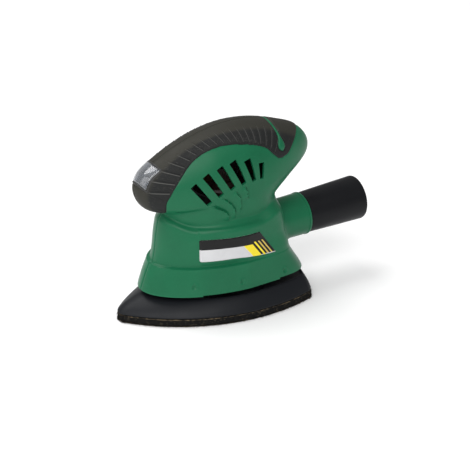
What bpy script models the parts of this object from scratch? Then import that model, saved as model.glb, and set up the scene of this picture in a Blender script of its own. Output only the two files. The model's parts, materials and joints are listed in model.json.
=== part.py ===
"""Detail mouse sander as an assembly of separate solids.

Metres, +Z up, +X forward to the point of the pad, origin on the motor axis at the sanding face.
Dimensions below are millimetres and are turned into metres where the meshes are made.
"""

import math

import bmesh
import bpy
import numpy as np
from mathutils import Vector

MM = 0.001
GAP = 0.3  # clearance between neighbouring pieces

# ---- outer form -------------------------------------------------------------------------------
GRIP_CENTRE = (-4.0, 86.0)  # x, z of the point that the grip arches round
RIDGE = (  # x, z along the centre line of the grip, from the throat over the nose to the tail
    (49.5, 76.6), (59.0, 79.6), (65.0, 86.5), (67.0, 95.5), (63.3, 104.0), (54.0, 110.6),
    (43.5, 116.5), (29.7, 122.6), (12.0, 127.9), (-8.0, 130.4), (-26.0, 129.0), (-42.0, 125.0),
    (-56.0, 119.7), (-63.4, 113.5), (-67.2, 106.0), (-66.0, 99.8), (-54.5, 90.0), (-44.5, 82.2),
    (-38.0, 76.0), (-36.0, 66.0), (-33.0, 56.0), (0.0, 50.0), (35.0, 54.0), (44.0, 66.0),
)
GRIP_WIDTH = (  # x, half width of the grip form
    (-70.0, 15.5), (-62.0, 18.0), (-50.0, 21.0), (-38.0, 24.0), (-22.0, 27.0), (-5.0, 28.0),
    (15.0, 28.0), (35.0, 26.0), (50.0, 24.5), (58.0, 24.0), (68.0, 23.5),
)
GRIP_CROWN = 2.9  # how square the grip's shoulders are
BODY = (  # z, front, rear, half width of the lower body
    (19.5, 65.2, -55.0, 37.2), (25.0, 63.4, -52.0, 36.6), (31.0, 61.2, -48.0, 35.8),
    (39.0, 57.8, -43.5, 34.6), (40.5, 55.4, -42.2, 31.8), (46.0, 54.0, -41.0, 32.4),
    (62.0, 52.0, -38.5, 32.6), (66.0, 51.0, -37.5, 31.8), (71.0, 49.2, -36.0, 29.0),
    (76.0, 46.5, -34.0, 24.0), (80.0, 40.0, -30.0, 14.0),
)
BODY_MIDDLE = -2.0  # x of the widest place
FORM_LEVELS = (
    19.5, 28.0, 39.0, 40.5, 50.0, 62.0, 66.0, 71.0, 76.2, 77.2, 80.0, 85.0, 91.0, 98.0, 105.0,
    111.0, 116.0, 120.5, 124.5, 127.5, 129.8,
)
UNDER_LEVELS = (60.0, 71.0, 76.2, 77.2, 80.0, 88.0, 98.0, 108.0, 115.0, 121.0, 125.5, 128.8)
CAVITY_LEVELS = (12.0, 19.5, 31.0, 38.5, 41.5, 62.0, 69.0, 77.2, 82.0, 94.0, 106.0, 115.0, 122.0, 126.5)
BLEND = 2.5
WALL = 3.6
RUBBER = 1.6
SEAM = 0.15  # half the gap between the two halves
SIDE = 60.0  # half the length of a cutter that runs across the object

GRIP_EDGE = (  # angle round GRIP_CENTRE in degrees, distance of the rubber's lower edge
    (-12.0, 54.0), (1.0, 55.5), (8.0, 53.5), (24.0, 48.2), (34.0, 45.8), (47.0, 42.4),
    (62.0, 38.8), (75.0, 36.2), (92.0, 34.0), (107.0, 33.5), (121.0, 33.7), (133.0, 32.8),
    (142.0, 33.3), (148.0, 36.4),
)
GRIP_END = 149.0
VENTS = (  # outer end, inner end, outer width, inner width
    ((34.7, 99.0), (24.2, 85.0), 4.0, 3.2), ((25.8, 104.8), (16.0, 89.6), 4.6, 3.3),
    ((15.8, 108.7), (7.2, 93.0), 4.4, 3.1), ((6.0, 111.3), (-1.2, 94.8), 4.8, 2.8),
    ((-4.8, 110.8), (-9.1, 95.5), 4.6, 2.2), ((-15.6, 106.8), (-15.1, 95.7), 3.6, 2.0),
)

# ---- dust way ---------------------------------------------------------------------------------
DUST_TILT = math.radians(3.2)
DUST_AXIS_AT = (-47.0, 0.0, 48.3)
COLLAR_RADIUS = 15.3
COLLAR_BORE = 14.2
COLLAR_LENGTH = 17.6  # from DUST_AXIS_AT to the mouth
COLLAR_ROOT, COLLAR_BORE_ROOT = -12.0, -30.0  # where its wall and its bore begin, along the axis
ADAPTER_LENGTH = 47.0  # beyond the mouth
ADAPTER_WALL = (  # radius, distance beyond the mouth
    (13.9, ADAPTER_LENGTH), (15.4, ADAPTER_LENGTH), (16.2, ADAPTER_LENGTH - 1.2), (14.7, 0.4),
    (13.8, 0.0), (13.2, -13.0), (11.4, -13.0),
)
DUCT_RADIUS, DUCT_BORE, DUCT_LOW, DUCT_HIGH = 13.7, 12.0, -15.0, -0.4
SCOOP_SIZE, SCOOP_AT = (12.0, 18.0, 20.0), (-36.0, 0.0, 36.0)
SEAL_LOW, SEAL_HIGH, SEAL_THICKNESS = 20.0, 22.6, 2.6

# ---- pad --------------------------------------------------------------------------------------
PAD_POINT_X = 84.4  # where the two sides would meet
PAD_CORNER_X, PAD_CORNER_Y, PAD_CORNER_RADIUS = -52.0, 35.7, 8.0
PAD_SIDE_RISE, PAD_REAR_RISE = 23.3, 6.1
PAD_TIP_X, PAD_REAR_X, PAD_HALF_WIDTH = 81.9, -58.0, 44.2
SHEET_TOP, HOOK_TOP, PLATE_TOP = 1.2, 6.0, 17.0
DUST_HOLES = ((44.0, 0.0), (20.0, 24.0), (20.0, -24.0), (-12.0, 28.0), (-12.0, -28.0), (-34.0, 0.0))
DUST_HOLE_RADIUS = 4.5
SHEET_SHARE = 0.99  # size of the sheet over that of the layers above it
PLATE_LEVELS = ((HOOK_TOP + GAP, 0.0), (9.5, 0.17), (13.0, 0.50), (PLATE_TOP, 1.0))  # z, share drawn in
PLATE_TOP_FRONT, PLATE_TOP_REAR, PLATE_TOP_SIDE = 62.0, 54.5, 36.0  # reach of the plate's upper edge
PAD_SEAT_LOW, PAD_SEAT_HIGH = 9.2, 16.5
PAD_SCREW_ROOM_RADIUS, PAD_SCREW_ROOM_HIGH = 7.0, 12.0
PAD_WASHER_RADIUS, PAD_WASHER_BORE, PAD_WASHER_LOW, PAD_WASHER_HIGH = 5.8, 2.4, 8.3, 9.1
PAD_SCREW = ((0.0, 16.0), (2.0, 16.0), (2.0, 8.0), (4.2, 8.0), (4.2, 6.6), (0.0, 6.6))  # radius, z
LEG = (  # radius, z
    (0.0, 30.0), (4.0, 30.0), (4.0, 28.0), (2.8, 26.0), (2.8, 21.5), (4.0, 19.5), (4.0, 17.3),
    (0.0, 17.3),
)
ORBIT = 1.0  # offset of the pad bearing from the motor axis

# ---- drive ------------------------------------------------------------------------------------
SHAFT_RADIUS = 4.0
SHAFT_LOW, SHAFT_HIGH, SHAFT_END_RADIUS = 20.3, 108.0, 3.5
BEARING_RADIUS, BEARING_HEIGHT = 11.0, 7.0
OUTER_RING_BORE, INNER_RING_RADIUS = 7.6, 7.1
LOWER_BEARING_LOW = 37.9
UPPER_BEARING_RADIUS, UPPER_BEARING_LOW, UPPER_BEARING_HIGH = 9.5, 101.3, 107.3
UPPER_OUTER_BORE, UPPER_INNER_RADIUS = 6.8, 6.3
SLEEVE_RADIUS, SLEEVE_BORE, SLEEVE_LOW, SLEEVE_HIGH = 11.4, 9.8, 101.0, 107.6
HUB_RADIUS, HUB_LOW, HUB_HIGH = 9.0, 17.4, 24.8
PIN_RADIUS, PIN_LOW, PIN_THREAD_RADIUS, PIN_THREAD_HIGH = 3.8, 9.3, 2.3, 16.6
WEIGHT_RADIUS, WEIGHT_BORE, WEIGHT_LOW, WEIGHT_HIGH = 19.0, 9.4, 18.0, 24.6
WEIGHT_CUT, WEIGHT_CUT_AT = (60.0, 60.0, 20.0), (28.0, 0.0, 21.0)
BEARING_PLATE = (  # radius, z
    (11.3, 45.0), (13.6, 45.0), (13.6, 38.6), (29.0, 38.6), (29.0, 36.2), (8.0, 36.2), (8.0, 37.6),
    (11.3, 37.6),
)
AIR_HOLES, AIR_HOLE_RADIUS, AIR_HOLE_PLACE = 4, 4.2, 21.0
LEG_PLACES = {
    "support_leg_front": (46.0, 0.0),
    "support_leg_rear_left": (-37.8, 18.5),
    "support_leg_rear_right": (-37.8, -18.5),
}
SCREW_PLACES = ((43.0, 47.0), (-28.0, 29.0), (37.0, 79.0), (-29.5, 74.0), (-50.0, 106.0), (12.0, 117.0))
SWITCH_ANGLE = math.radians(17.3)  # place of the switch on the ridge
SWITCH_TURN = math.radians(45.0)  # direction in which the switch faces
ROCKER_TILT = math.radians(7.0)
SWITCH_DEPTH = 5.0  # from the ridge down to the middle of the switch window
WINDOW = (17.2, 20.6, 22.0)  # room for the boot: along the ridge, across, deep
BOOT = (16.6, 20.0, 26.0)
SWITCH_BODY = (16.4, 17.0, 17.0)
ROCKER_ROOM = (14.0, 13.8, 10.0)
ROCKER_HALF_WIDTH = 6.4
ROCKER_DEPTH = 11.0
ROCKER = ((-6.3, 4.2), (-6.3, 0.6), (-2.4, -2.2), (2.4, -2.2), (6.3, 0.6), (6.3, 4.2), (0.0, 3.0))
SWITCH_BODY_DEPTH, ROCKER_ROOM_DEPTH = 17.5, 9.5

# ---- badge ------------------------------------------------------------------------------------
BADGE_FRONT, BADGE_REAR, BADGE_LOW, BADGE_HIGH = 32.5, -24.6, 43.4, 60.0
BADGE_SLANT = 0.68  # how far the rear end comes forward per millimetre of height
BADGE_BACK, BADGE_FACE = 0.5, 1.1  # above the body

# ---- cord inlet and screws --------------------------------------------------------------------
CORD_HEIGHT = 101.5
CORD_BUSH_FRONT = -52.4  # x of the inner end of the bush
CORD_BUSH_RADIUS, CORD_BUSH_BORE, CORD_BUSH_LENGTH = 5.4, 3.6, 11.2
SCREW_BOSS_RADIUS, SCREW_BOSS_ROOM = 4.8, 5.0
SCREW_HOLE_LOW = 0.1  # below the screw head's top
SCREW_HEAD_GAP = 0.4
SCREW_HEAD_RADIUS, SCREW_HEAD_LOW, SCREW_HEAD_HIGH = 3.2, 8.4, 10.6
SCREW_RADIUS, SCREW_END = 1.5, -9.6

# ---- wiring -----------------------------------------------------------------------------------
CAPACITOR_SIZE, CAPACITOR_AT = (16.0, 9.0, 12.0), (-24.0, 0.0, 114.5)
TERMINAL_SIZE, TERMINAL_AT = (12.0, 16.0, 9.0), (-39.0, 0.0, 98.5)
LEAD_RADIUS = 1.0
LEAD = (  # x, distance from the middle plane, z
    (-32.0, 4.0, 102.0), (-28.0, 7.0, 108.0), (-10.0, 8.5, 113.0), (6.0, 11.0, 112.0),
    (24.0, 9.0, 106.0), (38.0, 6.0, 99.5),
)

# ---- motor ------------------------------------------------------------------------------------
STATOR_RADIUS, STATOR_LOW, STATOR_HIGH = 23.4, 52.0, 84.0
POLE_RADIUS, YOKE_RADIUS = 14.3, 21.0
POLE_HALF_ANGLE = math.radians(48)
COIL_REACH, COIL_RADIUS, COIL_HALF_ANGLE = 18.3, 1.9, math.radians(61)
COIL_OVERHANG = 2.6
ARMATURE_RADIUS, ARMATURE_INSET = 13.7, 1.0
WINDINGS = (("winding_lower", 46.0, 52.6), ("winding_upper", 83.4, 89.6))  # name, lowest and highest z
WINDING_RADIUS, WINDING_END_RADIUS, WINDING_ROUND = 12.6, 9.5, 2.0
COMMUTATOR_RADIUS, COMMUTATOR_LOW, COMMUTATOR_HIGH = 9.0, 90.4, 99.8
BRUSH_HEIGHT = 95.0
BRUSH_SIZE, BRUSH_PLACE = (9.0, 6.2, 5.2), 13.9
HOLDER_SIZE, HOLDER_PLACE = (16.0, 9.4, 8.4), 18.6
BRUSH_WAY, BRUSH_WAY_PLACE = (15.0, 7.0, 6.0), 17.3
BRUSH_SPRING_START, BRUSH_SPRING_LENGTH, BRUSH_SPRING_RADIUS = 18.9, 5.2, 2.0
BRUSH_SPRING_TURNS, BRUSH_SPRING_POINTS, BRUSH_SPRING_WIRE = 3, 22, 0.3
FAN_BLADES, FAN_HUB, FAN_TIP, FAN_HALF_BLADE = 10, 8.0, 20.0, 0.6
FAN_LOW, FAN_HIGH, FAN_DISC_LOW, FAN_DISC_HIGH = 25.2, 33.6, 33.0, 35.2

HALF_SPACE = (400.0, 100.0, 400.0)  # a box over all of one side
HALF_SPACE_AT = HALF_SPACE[1] / 2 + SEAM
LONGER = 5.0  # how far a cutter runs on past the wall that it cuts

FULL_TURN = 2 * math.pi
TURN_BACK = (0.0, -math.pi / 2, 0.0)  # local +z to the tail
TURN_RIGHT = (math.pi / 2, 0.0, 0.0)  # local +z to the right side
TURN_LEFT = (-math.pi / 2, 0.0, 0.0)


# ---- scene helpers ----------------------------------------------------------------------------
def clear_scene():
    for obj in list(bpy.data.objects):
        bpy.data.objects.remove(obj, do_unlink=True)


def new_collection(name, hidden=False):
    made = bpy.data.collections.new(name)
    bpy.context.scene.collection.children.link(made)
    made.hide_render = hidden
    return made


def material(name, colour, roughness, metallic=0.0, transmission=0.0):
    made = bpy.data.materials.new(name)
    made.use_nodes = True
    shader = made.node_tree.nodes["Principled BSDF"]
    shader.inputs["Base Color"].default_value = (*colour, 1.0)
    shader.inputs["Roughness"].default_value = roughness
    shader.inputs["Metallic"].default_value = metallic
    shader.inputs["Transmission Weight"].default_value = transmission
    made.diffuse_color = (*colour, 1.0)
    return made


def add_object(name, mesh, look, smooth=False):
    """Puts a mesh in the scene: as a sub-part if it has a look, as a hidden cutter if not."""
    obj = bpy.data.objects.new(name, mesh)
    if look is None:
        CUTTERS.objects.link(obj)
        obj.hide_render = True
        obj.display_type = "WIRE"
    else:
        ASSEMBLY.objects.link(obj)
        mesh.materials.append(look)
    for polygon in mesh.polygons:
        polygon.use_smooth = smooth
    return obj


def mesh_from(name, points, faces):
    mesh = bpy.data.meshes.new(name)
    mesh.from_pydata([Vector(p) * MM for p in points], [], faces)
    mesh.update()
    return mesh


def boolean(obj, other, operation="DIFFERENCE"):
    step = obj.modifiers.new(other.name, "BOOLEAN")
    step.operation = operation
    step.solver = "EXACT"
    step.object = other
    return obj


def place(obj, at=(0.0, 0.0, 0.0), turn=(0.0, 0.0, 0.0)):
    obj.location = Vector(at) * MM
    obj.rotation_euler = turn
    return obj


# ---- shape helpers ----------------------------------------------------------------------------
def loft(name, rings, look, smooth=True):
    """A closed solid through rings of equal point count, listed upwards, each counter-clockwise."""
    count = len(rings[0])
    points = [tuple(p) for ring in rings for p in ring]
    faces = [tuple(reversed(range(count)))]
    for level in range(len(rings) - 1):
        low, high = level * count, (level + 1) * count
        for i in range(count):
            j = (i + 1) % count
            faces.append((low + i, low + j, high + j))
            faces.append((low + i, high + j, high + i))
    faces.append(tuple(range(len(points) - count, len(points))))
    return add_object(name, mesh_from(name, points, faces), look, smooth)


def prism(name, outline, low, high, look=None):
    """An outline in x, y (counter-clockwise) between two heights."""
    return loft(name, [[(x, y, z) for x, y in outline] for z in (low, high)], look, smooth=False)


def cross_prism(name, outline, half=SIDE, look=None):
    """An outline in x, z (counter-clockwise seen from -y) that runs across the object."""
    points = [(x, -half, z) for x, z in outline] + [(x, half, z) for x, z in outline]
    count = len(outline)
    faces = [tuple(range(count)), tuple(reversed(range(count, 2 * count)))]
    for i in range(count):
        j = (i + 1) % count
        faces.append((j, i, i + count, j + count))
    return add_object(name, mesh_from(name, points, faces), look)


def box(name, size, look=None, at=(0.0, 0.0, 0.0), turn=(0.0, 0.0, 0.0)):
    shape = bmesh.new()
    bmesh.ops.create_cube(shape, size=1.0)
    bmesh.ops.scale(shape, vec=Vector(size) * MM, verts=shape.verts)
    mesh = bpy.data.meshes.new(name)
    shape.to_mesh(mesh)
    shape.free()
    return place(add_object(name, mesh, look), at, turn)


def lathe(name, profile, look=None, steps=20, at=(0.0, 0.0, 0.0), turn=(0.0, 0.0, 0.0), closed=False):
    """Turns a profile of radius, height about the local z axis, outer side listed top to bottom."""
    edges = [(i, i + 1) for i in range(len(profile) - 1)]
    if closed:
        edges.append((len(profile) - 1, 0))
    mesh = bpy.data.meshes.new(name)
    mesh.from_pydata([Vector((r, 0.0, z)) * MM for r, z in profile], edges, [])
    obj = add_object(name, mesh, look)
    step = obj.modifiers.new("Screw", "SCREW")
    step.steps = steps
    step.render_steps = steps
    step.use_merge_vertices = True
    step.merge_threshold = 0.00001
    return place(obj, at, turn)


def tube_profile(outer, inner, low, high):
    """Profile of a plain ring."""
    return [(inner, high), (outer, high), (outer, low), (inner, low)]


def ring(name, outer, inner, low, high, look, steps=16, at=(0.0, 0.0, 0.0)):
    return lathe(name, tube_profile(outer, inner, low, high), look, steps, at, closed=True)


def rod(name, radius, low, high, look=None, steps=16, at=(0.0, 0.0, 0.0), turn=(0.0, 0.0, 0.0)):
    profile = [(0.0, high), (radius, high), (radius, low), (0.0, low)]
    return lathe(name, profile, look, steps, at, turn)


def wire(name, points, radius, look, cyclic=False, resolution=1):
    curve = bpy.data.curves.new(name, "CURVE")
    curve.dimensions = "3D"
    curve.bevel_depth = radius * MM
    curve.bevel_resolution = resolution
    curve.use_fill_caps = not cyclic
    spline = curve.splines.new("POLY")
    spline.points.add(len(points) - 1)
    for knot, point in zip(spline.points, points):
        knot.co = (*(Vector(point) * MM), 1.0)
    spline.use_cyclic_u = cyclic
    obj = bpy.data.objects.new(name, curve)
    ASSEMBLY.objects.link(obj)
    curve.materials.append(look)
    return obj


def table(rows, at, column):
    return np.interp(at, [row[0] for row in rows], [row[column] for row in rows])


# ---- the outer form ---------------------------------------------------------------------------
def ridge_radius(angle):
    """Distance of the ridge from GRIP_CENTRE: a smooth loop through the ridge points."""
    offsets = np.array(RIDGE) - GRIP_CENTRE
    turns = np.arctan2(offsets[:, 1], offsets[:, 0]) % FULL_TURN
    order = np.argsort(turns)
    turns, reach = turns[order], np.hypot(offsets[:, 0], offsets[:, 1])[order]
    t = np.concatenate([[turns[-1] - FULL_TURN], turns, turns[:2] + FULL_TURN])
    r = np.concatenate([[reach[-1]], reach, reach[:2]])
    slope = (r[2:] - r[:-2]) / (t[2:] - t[:-2])
    at = (np.asarray(angle) - turns[0]) % FULL_TURN + turns[0]
    i = np.clip(np.searchsorted(turns, at, side="right") - 1, 0, len(turns) - 1)
    step = t[i + 2] - t[i + 1]
    u = (at - t[i + 1]) / step
    start = (2 * u**3 - 3 * u**2 + 1) * r[i + 1] + (u**3 - 2 * u**2 + u) * step * slope[i]
    end = (3 * u**2 - 2 * u**3) * r[i + 2] + (u**3 - u**2) * step * slope[i + 1]
    return start + end


def grip_form(x, z, inset):
    """Half width of the grip form, and a number that is positive inside its outline."""
    across, up = x - GRIP_CENTRE[0], z - GRIP_CENTRE[1]
    share = np.hypot(across, up) / (ridge_radius(np.arctan2(up, across)) - inset)
    width = table(GRIP_WIDTH, x, 1) - inset
    return width * np.sqrt(np.clip(1 - share**GRIP_CROWN, 0, None)), 1 - share


def body_form(x, z, inset):
    """Half width of the lower body, and a number that is positive inside its outline."""
    front, rear = table(BODY, z, 1) - inset, table(BODY, z, 2) + inset
    width = table(BODY, z, 3) - inset
    ahead = x >= BODY_MIDDLE
    share = (x - BODY_MIDDLE) / (np.where(ahead, front, rear) - BODY_MIDDLE)
    inside = np.clip(share, 0, 1)
    nose = np.sqrt(1 - inside**1.85)
    tail = (1 - 0.12 * inside) * (1 - inside**8) ** 0.36
    edge = np.where(z <= BODY[-1][0] - inset, 1 - share, -1.0)
    return width * np.where(ahead, nose, tail), edge


def form_width(x, z, inset=0.0):
    """Half width of the whole form: the two forms joined with a soft inner corner."""
    a, in_a = grip_form(x, z, inset)
    b, in_b = body_form(x, z, inset)
    a, b = np.where(in_a > 0, a, 0.0), np.where(in_b > 0, b, 0.0)
    mix = np.clip(0.5 + 0.5 * (a - b) / BLEND, 0, 1)
    joined = b * (1 - mix) + a * mix + BLEND * mix * (1 - mix)
    return np.where((a > 0) & (b > 0), joined, np.maximum(a, b)), np.maximum(in_a, in_b)


def form_end(z, inset, direction):
    """The x at which the form ends on the centre line, ahead (+1) or behind (-1)."""
    inner, outer = -8.0, -8.0 + direction * 90.0
    for _ in range(40):
        middle = (inner + outer) / 2
        if form_width(np.array(middle), np.array(z), inset)[1] > 0:
            inner = middle
        else:
            outer = middle
    return inner


def form_ring(z, inset, columns):
    front, rear = form_end(z, inset, 1), form_end(z, inset, -1)
    turn = np.linspace(0, math.pi, columns + 1)
    x = (front + rear) / 2 + (front - rear) / 2 * np.cos(turn)
    y = form_width(x, np.full_like(x, z), inset)[0]
    y[0] = y[-1] = 0.0
    left = [(px, py, z) for px, py in zip(x, y)]
    right = [(px, -py, z) for px, py in zip(x[-2:0:-1], y[-2:0:-1])]
    return left + right


def whole_form(name, inset=0.0, columns=14, levels=FORM_LEVELS):
    """The outer form, or the same form drawn in all round by an inset."""
    top = max(z for _, z in RIDGE)
    middle = GRIP_CENTRE[1]
    shrink = (top - inset - middle) / (top - middle)
    heights = [z if z <= middle else middle + (z - middle) * shrink for z in levels]
    return loft(name, [form_ring(z, inset, columns) for z in heights], None)


# ---- outlines ---------------------------------------------------------------------------------
def grip_edge_point(angle, inset=0.0):
    turn = math.radians(angle)
    reach = float(table(GRIP_EDGE, angle, 1)) - inset
    return (GRIP_CENTRE[0] + reach * math.cos(turn), GRIP_CENTRE[1] + reach * math.sin(turn))


def grip_region(name, margin=0.0):
    """Cutter over the rubbered part of the form; the margin widens it."""
    spread = math.degrees(margin / 50.0)
    angles = np.linspace(-10.0 - spread, GRIP_END + spread, 26)
    inner = [grip_edge_point(angle, margin) for angle in angles]
    far = 90.0
    outer = []
    for angle in reversed(np.linspace(angles[0], angles[-1], 7)):
        turn = math.radians(angle)
        outer.append((GRIP_CENTRE[0] + far * math.cos(turn), GRIP_CENTRE[1] + far * math.sin(turn)))
    return cross_prism(name, list(reversed(inner + outer)))


def drop_outline(margin):
    """Teardrop inlay in x, z: a thin strip from the ridge that ends in a round drop."""
    centre, radius, strip, top = (-35.4, 112.8), 3.1 + margin, 0.8 + margin, 140.0
    turns = np.radians(np.linspace(118, 422, 13))
    round_end = [(centre[0] + radius * math.cos(t), centre[1] + radius * math.sin(t)) for t in turns]
    return round_end + [(centre[0] + strip, centre[1] + 10.0), (centre[0] + strip, top),
                        (centre[0] - strip, top), (centre[0] - strip, centre[1] + 10.0)]


def vent_outline(outer, inner, outer_width, inner_width):
    """A slot that narrows from its outer end to its inner end, in x, z."""
    along = (Vector(outer) - Vector(inner)).normalized()
    side = Vector((-along.y, along.x))
    corners = (
        Vector(outer) - side * outer_width / 2, Vector(outer) + side * outer_width / 2,
        Vector(inner) + side * inner_width / 2, Vector(inner) - side * inner_width / 2,
    )
    return [tuple(corner) for corner in corners]


def side_circle(start, end, rise):
    """Centre and radius of the circle through two points that bulges by rise to their right."""
    chord = end - start
    radius = (chord.length**2 / 4 + rise**2) / (2 * rise)
    out = Vector((chord.y, -chord.x)).normalized()
    return (start + end) / 2 - out * (radius - rise), radius


def corner_centre(first, second, radius, near):
    """Centre of the corner circle that rolls inside two side circles, next to a point."""
    (a, reach_a), (b, reach_b) = first, second
    reach_a, reach_b = reach_a - radius, reach_b - radius
    between = b - a
    along = (between.length**2 + reach_a**2 - reach_b**2) / (2 * between.length)
    up = math.sqrt(reach_a**2 - along**2)
    foot = a + between.normalized() * along
    side = Vector((-between.y, between.x)).normalized() * up
    return min(foot + side, foot - side, key=lambda point: (point - near).length)


def arc_points(centre, radius, start, end, count):
    """Points counter-clockwise on a circle from one direction to another."""
    first = math.atan2(start.y, start.x)
    sweep = (math.atan2(end.y, end.x) - first) % FULL_TURN
    turns = [first + sweep * i / count for i in range(count)]
    return [(centre.x + radius * math.cos(t), centre.y + radius * math.sin(t)) for t in turns]


def pad_outline(side_count=9, corner_count=4):
    """Rounded flat-iron outline of the pad, counter-clockwise."""
    tip = Vector((PAD_POINT_X, 0.0))
    left = Vector((PAD_CORNER_X, PAD_CORNER_Y))
    right = Vector((PAD_CORNER_X, -PAD_CORNER_Y))
    corners = (tip, left, right)
    circles = (side_circle(right, tip, PAD_SIDE_RISE), side_circle(tip, left, PAD_SIDE_RISE),
               side_circle(left, right, PAD_REAR_RISE))
    following = circles[1:] + circles[:1]
    rolled = [corner_centre(circle, after, PAD_CORNER_RADIUS, corner)
              for circle, after, corner in zip(circles, following, corners)]
    outline = []
    for i, ((centre, radius), (next_centre, _), roll) in enumerate(zip(circles, following, rolled)):
        outline += arc_points(centre, radius, rolled[i - 1] - centre, roll - centre, side_count)
        outline += arc_points(roll, PAD_CORNER_RADIUS, roll - centre, roll - next_centre, corner_count)
    return outline


def pad_ring(z, sink, outline):
    """The pad outline drawn in towards its upper edge by sink, from 0 to 1."""
    front, rear = PLATE_TOP_FRONT / PAD_TIP_X, PLATE_TOP_REAR / -PAD_REAR_X
    side = PLATE_TOP_SIDE / PAD_HALF_WIDTH
    made = []
    for x, y in outline:
        along = front if x > 0 else rear
        made.append((x * (1 - sink + sink * along), y * (1 - sink + sink * side), z))
    return made


# ---- assemblies -------------------------------------------------------------------------------
def dust_place(distance):
    """A point on the axis of the dust way, at a distance behind DUST_AXIS_AT."""
    x, y, z = DUST_AXIS_AT
    return (x - distance * math.cos(DUST_TILT), y, z + distance * math.sin(DUST_TILT))


DUST_TURN = (0.0, -math.pi / 2 + DUST_TILT, 0.0)  # local +z runs out of the collar


def switch_frame():
    """Origin of the switch on the ridge and the rotation whose local z faces out of the nose."""
    reach = float(ridge_radius(SWITCH_ANGLE))
    at = Vector((GRIP_CENTRE[0] + reach * math.cos(SWITCH_ANGLE), 0.0,
                 GRIP_CENTRE[1] + reach * math.sin(SWITCH_ANGLE)))
    return at, (0.0, math.pi / 2 - SWITCH_TURN, 0.0)


def in_switch(depth):
    """A point below the switch origin, by depth along the way that the switch faces."""
    at, _ = switch_frame()
    return at - Vector((math.cos(SWITCH_TURN), 0.0, math.sin(SWITCH_TURN))) * depth


def boss_reach(x, z):
    """How far a screw boss can run out sideways and still end inside the wall."""
    turns = np.linspace(0, FULL_TURN, 9)
    rim_x, rim_z = x + SCREW_BOSS_ROOM * np.cos(turns), z + SCREW_BOSS_ROOM * np.sin(turns)
    return float(form_width(rim_x, rim_z, RUBBER + GAP)[0].min()) - 0.5


def make_housing():
    """Both halves of the clamshell, cut from one form."""
    _, switch_turn = switch_frame()
    form = whole_form("cut_form")
    recess = grip_region("cut_recess", margin=GAP)
    boolean(recess, whole_form("cut_under_rubber", RUBBER + 2 * GAP, columns=12, levels=UNDER_LEVELS))
    boolean(recess, cross_prism("cut_inlay", drop_outline(-GAP)))
    boolean(form, recess)
    collar = rod("cut_collar_body", COLLAR_RADIUS, COLLAR_ROOT, COLLAR_LENGTH, steps=20,
                 at=DUST_AXIS_AT, turn=DUST_TURN)
    boolean(form, collar, "UNION")
    boolean(form, whole_form("cut_cavity", WALL, columns=10, levels=CAVITY_LEVELS))
    for i, vent in enumerate(VENTS):
        boolean(form, cross_prism(f"cut_vent_{i}", vent_outline(*vent)))
    boolean(form, box("cut_switch_room", WINDOW, at=in_switch(SWITCH_DEPTH), turn=switch_turn))
    for i, (x, z) in enumerate(SCREW_PLACES):
        reach = boss_reach(x, z)
        boss = rod(f"cut_boss_{i}", SCREW_BOSS_RADIUS, -reach, reach, steps=8, at=(x, 0.0, z),
                   turn=TURN_RIGHT)
        boolean(form, boss, "UNION")
    boolean(form, rod("cut_collar_bore", COLLAR_BORE, COLLAR_BORE_ROOT, COLLAR_LENGTH + LONGER, steps=20,
                      at=DUST_AXIS_AT, turn=DUST_TURN))
    boolean(form, rod("cut_cord_hole", CORD_BUSH_RADIUS + GAP, -GAP, 2 * CORD_BUSH_LENGTH, steps=20,
                      at=(CORD_BUSH_FRONT, 0.0, CORD_HEIGHT), turn=TURN_BACK))
    for i, (x, z) in enumerate(SCREW_PLACES):
        boolean(form, rod(f"cut_screw_{i}", SCREW_RADIUS + GAP, -SIDE, SCREW_HEAD_HIGH - SCREW_HOLE_LOW,
                          steps=6, at=(x, 0.0, z), turn=TURN_LEFT))
        boolean(form, rod(f"cut_screw_head_{i}", SCREW_HEAD_RADIUS + SCREW_HEAD_GAP,
                          SCREW_HEAD_LOW - SCREW_HEAD_GAP, SIDE, steps=8, at=(x, 0.0, z), turn=TURN_RIGHT))
    for name, side in (("left_housing", 1), ("right_housing", -1)):
        half = box(f"cut_{name}", HALF_SPACE, at=(0.0, side * HALF_SPACE_AT, 0.0))
        shell = add_object(name, half.data.copy(), GREEN)
        shell.location = half.location
        bpy.data.objects.remove(half, do_unlink=True)
        boolean(shell, form, "INTERSECT")


def make_grips():
    """The rubber skins of both sides and the clear boot over the switch."""
    _, switch_turn = switch_frame()
    skin = whole_form("cut_skin")
    boolean(skin, whole_form("cut_skin_inside", RUBBER))
    window = box("cut_window", WINDOW, at=in_switch(0.0), turn=switch_turn)
    region = grip_region("cut_region")
    drop = cross_prism("cut_drop", drop_outline(0.0))
    for name, side in (("left_grip", 1), ("right_grip", -1)):
        half = box(name, HALF_SPACE, RUBBER_BLACK, at=(0.0, side * HALF_SPACE_AT, 0.0))
        boolean(half, skin, "INTERSECT")
        boolean(half, region, "INTERSECT")
        boolean(half, window)
        boolean(half, drop)
    boot = box("switch_boot", BOOT, CLEAR, at=in_switch(SWITCH_DEPTH), turn=switch_turn)
    boolean(boot, skin, "INTERSECT")


def make_switch():
    _, turn = switch_frame()
    body = box("switch_body", SWITCH_BODY, BLACK, at=in_switch(SWITCH_BODY_DEPTH), turn=turn)
    boolean(body, box("cut_rocker_room", ROCKER_ROOM, at=in_switch(ROCKER_ROOM_DEPTH), turn=turn))
    rocker = cross_prism("switch_rocker", ROCKER, half=ROCKER_HALF_WIDTH, look=ROCKER_BLACK)
    place(rocker, in_switch(ROCKER_DEPTH), (0.0, turn[1] + ROCKER_TILT, 0.0))


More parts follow.
